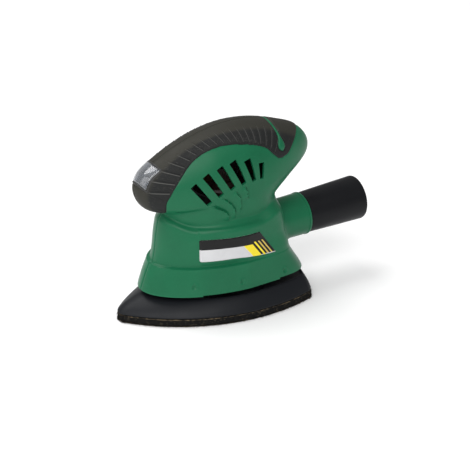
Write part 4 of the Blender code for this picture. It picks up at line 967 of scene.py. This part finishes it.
def make_collar():
    """Round collar with a flared root that runs into the body."""
    steps = 128
    turn = np.arange(steps) * FULL / steps
    lengths = np.concatenate([[-1.0], np.linspace(0.0, 1.0, 9)[:-1] ** 1.6 * COLLAR_FLARE_LENGTH,
                              np.linspace(COLLAR_FLARE_LENGTH, COLLAR_STRAIGHT, 8)])
    rows = []
    for s in lengths:
        ahead = 1 - min(max(s, 0.0) / COLLAR_FLARE_LENGTH, 1.0)
        flare = COLLAR_FLARE * (1 - math.sqrt(max(0.0, 1 - ahead**2)))
        rows.append((COLLAR_FOOT + COLLAR_DRAFT * max(s, 0.0) / COLLAR_STRAIGHT + flare, s))
    rows += COLLAR_MOUTH
    points = np.array([np.stack([radius * np.cos(turn), radius * np.sin(turn), np.full(steps, s)], -1)
                       for radius, s in rows])
    world = dust_frame(points)
    root_shift = DUST_AXIS_AT[0] - form_end(np.clip(world[..., 2], 20.0, 76.0), 0.0, -1)
    start = root_shift - np.interp(np.abs(world[..., 1]), *COLLAR_BULGE)
    fade = np.clip(1 - np.maximum(points[..., 2], 0.0) / COLLAR_FADE, 0, 1)
    outer_rows = points[..., 2] <= 15.5
    outer_rows[-2:] = False
    world = world + np.where(outer_rows, start * fade, 0.0)[..., None] * DUST_AXIS
    collar = new_mesh("dust_collar", world, grid_faces(len(rows), steps, around=True), GREEN.material)
    tidy_normals(collar, 40)
    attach(collar, "housing")


# ---- rubber -----------------------------------------------------------------------------------
def drop_half_width(share):
    """Half width of the teardrop from its lower end (0) to the ridge (1)."""
    return smooth_table(DROP_WIDTHS, share)


def drop_middle(share):
    return smooth_table(DROP_MIDDLES, share)


def drop_share(z):
    return np.clip((z - DROP_LOW) / (DROP_HIGH - DROP_LOW), 0, 1)


def drop_distance(x, z):
    """Distance in mm outside the teardrop's outline, negative inside it."""
    share = drop_share(z)
    sideways = np.abs(x - drop_middle(share)) - drop_half_width(np.clip(share, 0.03, 1))
    under = np.hypot(np.maximum(sideways + 1.2, 0), np.maximum(DROP_LOW - z, 0)) + 0.2
    return np.where(z < DROP_LOW + 0.3, under, sideways)


def grip_relief(x, z, angle, depth, share):
    """Outward relief of the rubber: rounded lip, stepped ribs, lines by the switch, room for the inlay; also
    where the rib edges get a painted highlight.
    """
    made = -RUBBER_SUNK + RUBBER_LIP * round_over(depth / RUBBER_LIP_LENGTH)
    zone = ease(depth - 0.9) * ease((0.92 - share) / 0.3)
    first, last = RIB_ANGLES
    zone = zone * ease((angle - first) / RIB_ANGLE_FADE) * ease((last - angle) / RIB_ANGLE_FADE)
    lean = angle + share * RIB_LEAN
    run = ((lean / RIB_PITCH) % 1.0 - 0.5) * np.radians(RIB_PITCH) * RIB_REACH
    made += zone * (RIB_LIFT * bell(run + RIB_AT, RIB_WIDTH) - RIB_GROOVE * bell(run, RIB_GROOVE_WIDTH))
    made += zone * RIB_RIPPLE * np.cos(lean / RIB_PITCH * FULL * RIB_RIPPLES)
    # The ribs' raised edges, marked for a painted highlight in the rubber's colour.
    painted_rib_highlight = zone * bell(run + RIB_AT, RIB_PAINTED_HIGHLIGHT_WIDTH)
    gap = drop_distance(x, z)
    made -= 0.75 * np.where(z > DROP_LOW - 2.0, 1 - ease((gap - 0.15) / 0.65), 0.0)
    made -= 0.5 * bell(polyline_distance(x, z, SWITCH_LINE)[0], 0.4)
    return made, painted_rib_highlight


def grip_surface():
    """Points, attribute values and faces of the left rubber skin, with its lower wall and its rear wall."""
    columns = GRIP_COLUMNS
    a = np.linspace(0.0, 1.0, columns)[None, :]
    guess = GRIP_START + a * (GRIP_LAST_ANGLE - GRIP_START)
    lower = smooth_table(GRIP_EDGE, guess)
    upper = ridge_radius(np.radians(guess))
    last = GRIP_EDGE_ROWS[-1]
    far = lower + last + (upper - lower - last) * np.sin(GRIP_REST_ROWS[:, None] * math.pi / 2)
    reach = np.concatenate([lower + GRIP_EDGE_ROWS[:, None], far])
    end = smooth_table(GRIP_END, reach)
    angle = GRIP_START + a * (end - GRIP_START)
    top = ridge_radius(np.radians(angle))
    bottom = smooth_table(GRIP_EDGE, angle)
    share = np.clip((reach - lower) / (upper - lower), 0, 1)
    stretched = bottom + (reach - lower) / (upper - lower) * (top - bottom)
    reach = np.minimum(np.where(reach > lower + last, stretched, bottom + reach - lower), top)
    x = GRIP_CENTRE[0] + reach * np.cos(np.radians(angle))
    z = GRIP_CENTRE[1] + reach * np.sin(np.radians(angle))
    y = form_width(x, z)[0]
    y[-1] = 0.0
    base = np.stack([x, y, z], -1)
    normal = grid_normals(base)
    depth = np.minimum(np.minimum(reach - bottom, np.radians(end - angle) * reach),
                       np.radians(angle - GRIP_START) * reach)
    relief, painted_rib_highlight = grip_relief(x, z, angle, depth, share)
    points = base + normal * (relief - 0.35 * bell(y, 0.45))[..., None]
    points[..., 1] = np.maximum(points[..., 1], SEAM * 0.8)
    wall = base[0] - normal[0] * GRIP_WALL
    back = base[:, -1] - normal[:, -1] * GRIP_WALL

    at, along, _ = switch_axes()
    window = (np.abs((points - at) @ along) < WINDOW_HALF[0]) & (points[..., 1] < WINDOW_HALF[1])
    window &= x > WINDOW_REAR
    rows = len(reach)
    quads = grid_faces(rows, columns)
    quads = quads[~window.reshape(-1)[quads].all(axis=1)]
    size = rows * columns
    ahead, behind = np.arange(columns - 1), np.arange(1, columns)
    wall_quads = np.stack([behind, ahead, ahead + size, behind + size], -1)
    rear_line = np.arange(rows) * columns + columns - 1
    rear_new = size + columns + np.arange(rows)
    rear_quads = np.stack([rear_line[:-1], rear_line[1:], rear_new[1:], rear_new[:-1]], -1)
    spare = np.zeros(len(wall) + len(back))
    # painted_top_highlight marks the top of the grip near the ridge, where a highlight is painted into the
    # colour.
    marks = {"painted_top_highlight": np.concatenate([ease((share - 0.62) / 0.16).reshape(-1), spare]),
             # painted highlight along the ribs' raised edges
             "painted_rib_highlight": np.concatenate([painted_rib_highlight.reshape(-1), spare])}
    return stacked(points, wall, back), marks, np.concatenate([quads, wall_quads, rear_quads])


def make_grips():
    points, marks, faces = grip_surface()
    for node_name, side in (("left_grip", 1.0), ("right_grip", -1.0)):
        made = new_mesh(f"{node_name}_skin", points * np.array([1.0, side, 1.0]),
                        faces if side > 0 else faces[:, ::-1], RUBBER.material)
        for mark, values in marks.items():
            attribute = made.data.attributes.new(mark, "FLOAT", "POINT")
            attribute.data.foreach_set("value", values.astype(np.float32))
        bm = bmesh.new()
        bm.from_mesh(made.data)
        bmesh.ops.delete(bm, geom=[v for v in bm.verts if not v.link_faces], context="VERTS")
        bm.to_mesh(made.data)
        bm.free()
        made.data.polygons.foreach_set("use_smooth", [True] * len(made.data.polygons))
        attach(made, "housing")
        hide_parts(node_name)


def make_inlays():
    """Green teardrop inlay on each side of the grip."""
    rows, columns = 90, 25
    s = np.linspace(0.0, 1.0, rows)[:, None]
    u = np.linspace(-1.0, 1.0, columns)[None, :]
    x = drop_middle(s) + u * np.where(s < 0.005, 0.02, drop_half_width(s) - DROP_GAP)
    ridge_z = bisect(np.full_like(x, 100.0), np.full_like(x, 140.0), lambda z: grip_form(x, z, 0.0)[1] > 0)
    z = DROP_LOW + (ridge_z - DROP_LOW) * np.sin(s * math.pi / 2)
    share = drop_share(z)
    x = drop_middle(share) + u * (drop_half_width(share) - DROP_GAP)
    base = np.stack([x, form_width(x, z)[0], z], -1)
    dome = np.sqrt(np.clip(1 - np.abs(u) ** 2.6, 0, 1)) * round_over(s / 0.12)
    rise = 1.0 + 0.55 * (1 - ease((s - 0.3) / 0.25))
    points = base + grid_normals(base) * (-0.7 + rise * dome)[..., None]
    points[..., 1] = np.maximum(points[..., 1], 0.0)
    faces = grid_faces(rows, columns)
    for name, side in (("left_inlay", 1.0), ("right_inlay", -1.0)):
        made = new_mesh(name, points * np.array([1.0, side, 1.0]), faces if side > 0 else faces[:, ::-1],
                        GREEN.material)
        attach(made, "housing")


def boot_surface(a, b):
    """Points of the form's surface a mm along the ridge and b mm aside from the switch's middle."""
    at, along, out = switch_axes()

    def solid(depth):
        x = at[0] + along[0] * a + out[0] * depth
        z = at[2] + along[2] * a + out[2] * depth
        width, inside = form_width(x, z)
        return (inside > 0) & (width >= np.abs(b))

    depth = bisect(np.full(a.shape, BOOT_SEARCH[0]), np.full(a.shape, BOOT_SEARCH[1]), solid, 44)
    place = at + along * a[..., None] + out * depth[..., None]
    place[..., 1] = b
    return place


def make_boot():
    """Clear patch over the switch."""
    out = switch_axes()[2]
    half_a, half_b = BOOT_HALF
    a, b = np.broadcast_arrays(np.linspace(-half_a, half_a, BOOT_ROWS)[:, None],
                               np.linspace(-half_b, half_b, BOOT_COLUMNS)[None, :])
    edge = np.minimum(half_a - np.abs(a), half_b - np.abs(b))
    lift = -BOOT_SINK + BOOT_RISE * round_over(edge / BOOT_LIP)
    surface = boot_surface(a, b)
    normal = grid_normals(surface, out)
    points = stacked(surface + normal * lift[..., None], surface - normal * BOOT_WALL)
    made = new_mesh("clear_boot_skin", points, slab_faces(BOOT_ROWS, BOOT_COLUMNS), CLEAR.material)
    tidy_normals(made, 50)
    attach(made, "housing")
    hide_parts("switch_boot")


def make_bead():
    """Rubber bead round the clear patch."""
    out = switch_axes()[2]
    half_a, half_b = BEAD_HALF
    corners = [(-half_a, -half_b), (half_a, -half_b), (half_a, half_b), (-half_a, half_b)]
    outline = rounded(corners, BEAD_CORNER, 6)
    closed = outline + outline[:1]
    run = np.concatenate([[0], np.cumsum([math.dist(p, q) for p, q in zip(closed, closed[1:])])])
    steps = np.linspace(0, run[-1], BEAD_POINTS, endpoint=False)
    line_a, line_b = (np.interp(steps, run, [p[k] for p in closed]) for k in (0, 1))
    centre = boot_surface(line_a, line_b)
    outward = boot_surface(line_a * 1.01, line_b * 1.01) - centre
    tangent = np.roll(centre, -1, 0) - np.roll(centre, 1, 0)
    tangent /= np.linalg.norm(tangent, axis=1, keepdims=True)
    outward -= (outward * tangent).sum(1, keepdims=True) * tangent
    outward /= np.maximum(np.linalg.norm(outward, axis=1, keepdims=True), 1e-9)
    up = np.cross(outward, tangent)
    up *= np.sign(up @ out)[:, None]
    ring = [centre + outward * BEAD_WIDE * math.cos(turn) + up * (BEAD_HIGH * math.sin(turn) + BEAD_LIFT)
            for turn in np.arange(BEAD_SIDES) * FULL / BEAD_SIDES]
    points = np.array(ring).transpose(1, 0, 2)
    points = np.concatenate([points, points[:1]])
    bead = new_mesh("boot_bead", points, grid_faces(BEAD_POINTS + 1, BEAD_SIDES, around=True),
                    RUBBER_PLAIN.material)
    tidy_normals(bead)
    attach(bead, "housing")


# ---- identity plate ---------------------------------------------------------------------------
def badge_columns():
    """Places of the plate's columns from front (0) to rear (1), and the look between each two."""
    u, kind = [0.0], []
    for start, end, one in zip(BADGE_CUTS, BADGE_CUTS[1:], BADGE_KINDS):
        count = max(3, int((end - start) * BADGE_COLUMNS))
        u += list(np.linspace(start, end, count + 1)[1:])
        kind += [one] * count
    return np.array(u), np.array(kind)


def round_front(x, distance):
    """Rounds a front corner of the plate; distance is that from its lower or upper edge."""
    inside = np.clip(BADGE_CORNER - distance, 0, None)
    reach = np.sqrt(np.clip(BADGE_CORNER**2 - inside**2, 0, None))
    return np.minimum(x, BADGE_FRONT - BADGE_CORNER + reach)


def badge_looks(u, v, kind):
    """Index of the look of each face, row by row."""
    rows, columns = len(v), len(u)
    row_of = np.repeat(np.arange(rows - 1), columns - 1)
    column_of = np.tile(np.arange(columns - 1), rows - 1)
    middle_v = (v[row_of] + v[row_of + 1]) / 2
    kind = kind[column_of]
    upper = middle_v > BADGE_SPLIT
    index = np.where(upper & (kind == 1), 0, kind)
    index = np.where(upper & (column_of < np.searchsorted(u, BADGE_CUTS[2])), 0, index)
    index = np.where(middle_v > BADGE_SPLIT + BADGE_OVERLAP, 0, index)
    rim = (middle_v < 0.035) | (middle_v > 0.972) | (u[column_of] < 0.006)
    return np.where(rim & ~((index == 1) | (index == 2)), np.where(middle_v > 0.5, 0, 1), index)


def make_badge():
    """Bent plate with plain printed bands; it carries no lettering."""
    v = np.concatenate([np.linspace(0, BADGE_SPLIT, 26)[:-1], np.linspace(BADGE_SPLIT, 1.0, 22)])
    u, kind = badge_columns()
    vv, uu = v[:, None], u[None, :]
    slant = (BADGE_REAR_HIGH - BADGE_REAR_LOW) * vv * ease(uu / 0.6)
    x = BADGE_FRONT + (BADGE_REAR_LOW - BADGE_FRONT) * uu + slant
    low_z = BADGE_LOW[0] + (BADGE_LOW[1] - BADGE_LOW[0]) * ease((uu - 0.35) / 0.65)
    high_z = BADGE_HIGH[0] + (BADGE_HIGH[1] - BADGE_HIGH[0]) * uu
    z = low_z + (high_z - low_z) * vv
    for distance in (z - low_z, high_z - z):
        x = np.where(uu < 0.5, round_front(x, distance), x)
    y = form_width(x, z)[0]
    base = np.stack([x, y, z], -1)
    normal = grid_normals(base)
    near = np.minimum(np.minimum(z - low_z, high_z - z), np.minimum(uu * 56.0, (1 - uu) * 50.0))
    lift = shell_relief(x, y, z) + 0.05 + 0.42 * round_over(near / 0.5)
    rows, columns = base.shape[:2]
    rim = rim_faces(rows, columns)
    index = np.concatenate([badge_looks(u, v, kind), np.ones(len(rim), int)])
    made = new_mesh("identity_plate", stacked(base + normal * lift[..., None], base - normal * 0.3),
                    np.concatenate([grid_faces(rows, columns), rim]),
                    [look.material for look in BADGE_LOOKS], indices=index.astype(int).tolist())
    tidy_normals(made, 60)
    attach(made, "housing")
    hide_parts("badge_plate")


# ---- dust adapter -----------------------------------------------------------------------------
def make_adapter():
    """Tapering tube; its profile runs up the outside and back through the bore."""
    profile = [(radius, COLLAR_LENGTH + past) for radius, past in (
        (11.4, -13.0), (13.2, -13.0), (13.8, -0.4), (14.05, -0.1), (14.15, 0.35), (14.75, 0.75), (14.85, 1.4),
        (15.6, 24.0), (16.1, 41.0), (16.25, 45.2), (16.22, 46.0), (15.95, 46.7), (15.4, 47.0),
        (14.6, 46.95), (14.1, 46.5), (13.9, 45.6), (13.1, 24.0), (12.0, -4.0))]
    made = lathe("dust_adapter_tube", profile, BLACK.material, 128, dust_frame, closed=True, angle=44)
    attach(made, "adapter")
    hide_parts("dust_adapter")


# ---- pad --------------------------------------------------------------------------------------
def side_circle(start, end, rise):
    """Centre and radius of the arc from start to end that bulges out by rise."""
    chord = end - start
    radius = (chord.length**2 / 4 + rise**2) / (2 * rise)
    out = Vector((chord.y, -chord.x)).normalized()
    return (start + end) / 2 - out * (radius - rise), radius


def corner_centre(first, second, radius, near):
    """Centre of the corner's arc, which touches both sides' circles from inside."""
    (a, reach_a), (b, reach_b) = first, second
    reach_a, reach_b = reach_a - radius, reach_b - radius
    between = b - a
    along = (between.length**2 + reach_a**2 - reach_b**2) / (2 * between.length)
    up = math.sqrt(reach_a**2 - along**2)
    foot = a + between.normalized() * along
    side = Vector((-between.y, between.x)).normalized() * up
    return min(foot + side, foot - side, key=lambda point: (point - near).length)


def arc_points(centre, radius, start, end, count):
    first = math.atan2(start.y, start.x)
    sweep = (math.atan2(end.y, end.x) - first) % FULL
    turns = [first + sweep * i / count for i in range(count)]
    return [(centre.x + radius * math.cos(t), centre.y + radius * math.sin(t)) for t in turns]


def pad_outline(side_count=90, corner_count=22):
    """Delta outline: three bulging sides with rounded corners."""
    tip = Vector((PAD_POINT_X, 0.0))
    left = Vector(PAD_CORNER)
    right = Vector((PAD_CORNER[0], -PAD_CORNER[1]))
    corners = (tip, left, right)
    circles = (side_circle(right, tip, PAD_SIDE_RISE), side_circle(tip, left, PAD_SIDE_RISE),
               side_circle(left, right, PAD_REAR_RISE))
    rolled = [corner_centre(circles[i], circles[(i + 1) % 3], PAD_CORNER_RADIUS, corners[i])
              for i in range(3)]
    outline = []
    for i, here in enumerate(rolled):
        centre, radius = circles[i]
        outline += arc_points(centre, radius, rolled[i - 1] - centre, here - centre, side_count)
        following = circles[(i + 1) % 3][0]
        outline += arc_points(here, PAD_CORNER_RADIUS, here - centre, here - following, corner_count)
    return np.array(outline)


def outward_of(outline):
    ahead = np.roll(outline, -1, 0) - np.roll(outline, 1, 0)
    ahead /= np.linalg.norm(ahead, axis=1, keepdims=True)
    return np.stack([ahead[:, 1], -ahead[:, 0]], -1)


def pad_level(outline, z, sink, grow=0.0):
    """The outline drawn in towards the plate's upper edge by sink, from 0 to 1."""
    along = np.where(outline[:, 0] > 0, PLATE_TOP_FRONT / PAD_TIP_X, PLATE_TOP_REAR / -PAD_REAR_X)
    side = PLATE_TOP_SIDE / PAD_HALF_WIDTH
    x = outline[:, 0] * (1 - sink + sink * along)
    y = outline[:, 1] * (1 - sink + sink * side)
    flat = np.stack([x, y], -1) + outward_of(outline) * grow
    return np.concatenate([flat, np.full((len(outline), 1), z)], 1)


def loft(name, levels, looks):
    """A closed body through outlines with as many points each, from the lowest to the highest."""
    points = np.array(levels)
    rows, columns = points.shape[:2]
    faces = [list(f) for f in grid_faces(rows, columns, around=True)]
    faces.append(list(range(columns))[::-1])
    faces.append(list(range((rows - 1) * columns, rows * columns)))
    return tidy_normals(new_mesh(name, points, faces, looks))


def hole_cutters(radius):
    return [prism_mesh(f"cut_hole_{i}", circle(x, y, radius), HOLE_LOW, HOLE_HIGH, "z")
            for i, (x, y) in enumerate(DUST_HOLES)]


def make_plate(outline):
    plate = loft("pad_plate_shell", [pad_level(outline, *row) for row in PLATE_PROFILE], PAD_BLACK.material)
    seat = prism_mesh("cut_seat", circle(ORBIT, 0.0, SEAT_RADIUS, 48), SEAT_LOW, HOLE_HIGH, "z")
    room = prism_mesh("cut_room", circle(ORBIT, 0.0, ROOM_RADIUS, 40), 0.0, ROOM_HIGH, "z")
    cut(plate, *hole_cutters(HOLE_RADIUS), seat, room)
    shade(plate, 32)
    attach(plate, "pad")
    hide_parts("pad_plate")


def ragged(rng, count, amount, passes=2):
    """Random waviness along an outline."""
    wave = rng.normal(size=count)
    for _ in range(passes):
        wave = (np.roll(wave, 1) + 2 * wave + np.roll(wave, -1)) / 4
    return wave * amount


def make_hook(outline, rng):
    columns = len(outline)
    levels = []
    for z, grow in HOOK_LEVELS:
        flat = outline + outward_of(outline) * (grow + ragged(rng, columns, 0.16))[:, None]
        level = np.full((columns, 1), z) + ragged(rng, columns, 0.06)[:, None]
        levels.append(np.concatenate([flat, level], 1))
    hook = loft("hook_foam_layer", levels, [FOAM.material, PAPER.material])
    index = np.zeros(len(hook.data.polygons), int)
    index[HOOK_TAN_ROW * columns:(HOOK_TAN_ROW + 1) * columns] = 1
    hook.data.polygons.foreach_set("material_index", index.tolist())
    cut(hook, *hole_cutters(HOOK_HOLE_RADIUS))
    shade(hook, 60)
    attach(hook, "pad")
    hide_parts("hook_layer")


def make_sheet(outline, rng):
    columns = len(outline)
    levels = []
    for z, grow in SHEET_LEVELS:
        flat = outline * SHEET_SHARE + outward_of(outline) * (grow + ragged(rng, columns, 0.22, 1))[:, None]
        levels.append(np.concatenate([flat, np.full((columns, 1), z)], 1))
    sheet = loft("sanding_sheet_disc", levels, [FOAM.material, GRIT.material, PAPER.material])
    index = np.zeros(len(sheet.data.polygons), int)
    index[:SHEET_GRIT_ROWS * columns] = 1
    index[SHEET_GRIT_ROWS * columns:(SHEET_GRIT_ROWS + 1) * columns] = 2
    index[-2] = 1  # the face below
    sheet.data.polygons.foreach_set("material_index", index.tolist())
    cut(sheet, *hole_cutters(HOLE_RADIUS))
    shade(sheet, 60)
    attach(sheet, "pad")
    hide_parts("sanding_sheet")


def make_pad():
    outline = pad_outline()
    rng = np.random.default_rng(7)
    make_plate(outline)
    make_hook(outline, rng)
    make_sheet(outline, rng)
    make_fibres(outline, rng)


def make_fibres(outline, rng):
    """Short loose fibres of the hook face and the torn paper edge."""
    outward = outward_of(outline)
    points, faces, index = [], [], []
    for _ in range(FIBRES):
        at = rng.uniform(0, len(outline))
        i, t = int(at), at - int(at)
        j = (i + 1) % len(outline)
        foot = outline[i] * (1 - t) + outline[j] * t
        out = outward[i] * (1 - t) + outward[j] * t
        side = np.array([-out[1], out[0]])
        low = rng.random() < 0.6
        z = rng.uniform(0.2, 1.6) if low else rng.uniform(1.6, 5.6)
        length = rng.uniform(0.4, 1.35)
        lean, drop = rng.normal(0, 0.6), rng.normal(-0.1, 0.35)
        width = rng.uniform(0.07, 0.18)
        tip = foot + out * (length + 0.05) + side * lean * length
        start = len(points)
        low_z = max(0.03, z - width)
        root = foot - out * FIBRE_ROOT
        points += [(*(root - side * width), z), (*(root + side * width), z),
                   (*root, low_z + width * 2.0), (*tip, max(0.02, z + drop * length))]
        faces += [(start + i, start + (i + 1) % 3, start + 3) for i in range(3)]
        tan = rng.random() < (0.30 if low else 0.1)
        index += [1 if tan else 0] * 3
    made = new_mesh("pad_fibres", points, faces, [FOAM.material, PAPER.material], smooth=False,
                    indices=index)
    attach(made, "pad")


# ---- scene, in metres -------------------------------------------------------------------------
LIGHTS = (  # name, place, size, power
    ("key", (1.2, 1.9, 2.2), 2.4, 64.0), ("left_fill", (2.6, 0.2, 1.6), 2.0, 20.0),
    ("rim", (0.6, -1.2, 2.6), 1.6, 40.0),
)
LIGHT_TARGET = (0.0, 0.0, 0.05)
WORLD_STRENGTH = 0.36
LENS, SENSOR = 103.25, 36.0
CAMERA_ROUND, CAMERA_UP, CAMERA_DISTANCE = math.radians(29.5), math.radians(25.0), 0.95
CAMERA_TARGET = (-0.0097, 0.0, 0.0441)


def aim(obj, at, target):
    obj.location = Vector(at)
    obj.rotation_euler = (Vector(target) - Vector(at)).to_track_quat("-Z", "Y").to_euler()


def make_floor():
    half, z = 3000.0, -0.05
    corners = [(-half, -half, z), (half, -half, z), (half, half, z), (-half, half, z)]
    new_mesh("floor", corners, [(0, 1, 2, 3)], FLOOR_LOOK, smooth=False)


def area_light(name, at, size, power):
    light = bpy.data.lights.new(name, "AREA")
    light.shape = "RECTANGLE"
    light.size = light.size_y = size
    light.energy = power
    obj = bpy.data.objects.new(name, light)
    bpy.context.scene.collection.objects.link(obj)
    aim(obj, at, LIGHT_TARGET)


def make_camera():
    camera = bpy.data.cameras.new("camera")
    camera.lens, camera.sensor_width = LENS, SENSOR
    obj = bpy.data.objects.new("camera", camera)
    bpy.context.scene.collection.objects.link(obj)
    target = Vector(CAMERA_TARGET)
    level = math.cos(CAMERA_UP)
    back = Vector((math.sin(CAMERA_ROUND) * level, math.cos(CAMERA_ROUND) * level, math.sin(CAMERA_UP)))
    aim(obj, target + back * CAMERA_DISTANCE, target)
    bpy.context.scene.camera = obj


def make_scene():
    make_floor()
    world = bpy.data.worlds.new("studio")
    bpy.context.scene.world = world
    world.use_nodes = True
    backdrop = world.node_tree.nodes["Background"]
    backdrop.inputs["Color"].default_value = (1.0, 1.0, 1.0, 1.0)
    backdrop.inputs["Strength"].default_value = WORLD_STRENGTH
    for light in LIGHTS:
        area_light(*light)
    make_camera()
    bpy.context.scene.view_settings.view_transform = "Standard"


def floor_look():
    look = Look("floor_look", (0.95, 0.95, 0.95), 0.7, Emission_Strength=0.09)
    look.stain((3.0, 3.0), (0.35, 0.7), 0.4, (0.93, 0.93, 0.935))
    look.bump(look.noise(900.0, 2.0), 0.02)
    return look.material


FLOOR_LOOK = floor_look()
make_scene()
make_shells()
make_screw_wells()
make_screws()
make_springs()
make_collar()
make_grips()
make_inlays()
make_boot()
make_bead()
make_badge()
make_adapter()
make_pad()
bpy.data.materials.remove(CUT_LOOK)
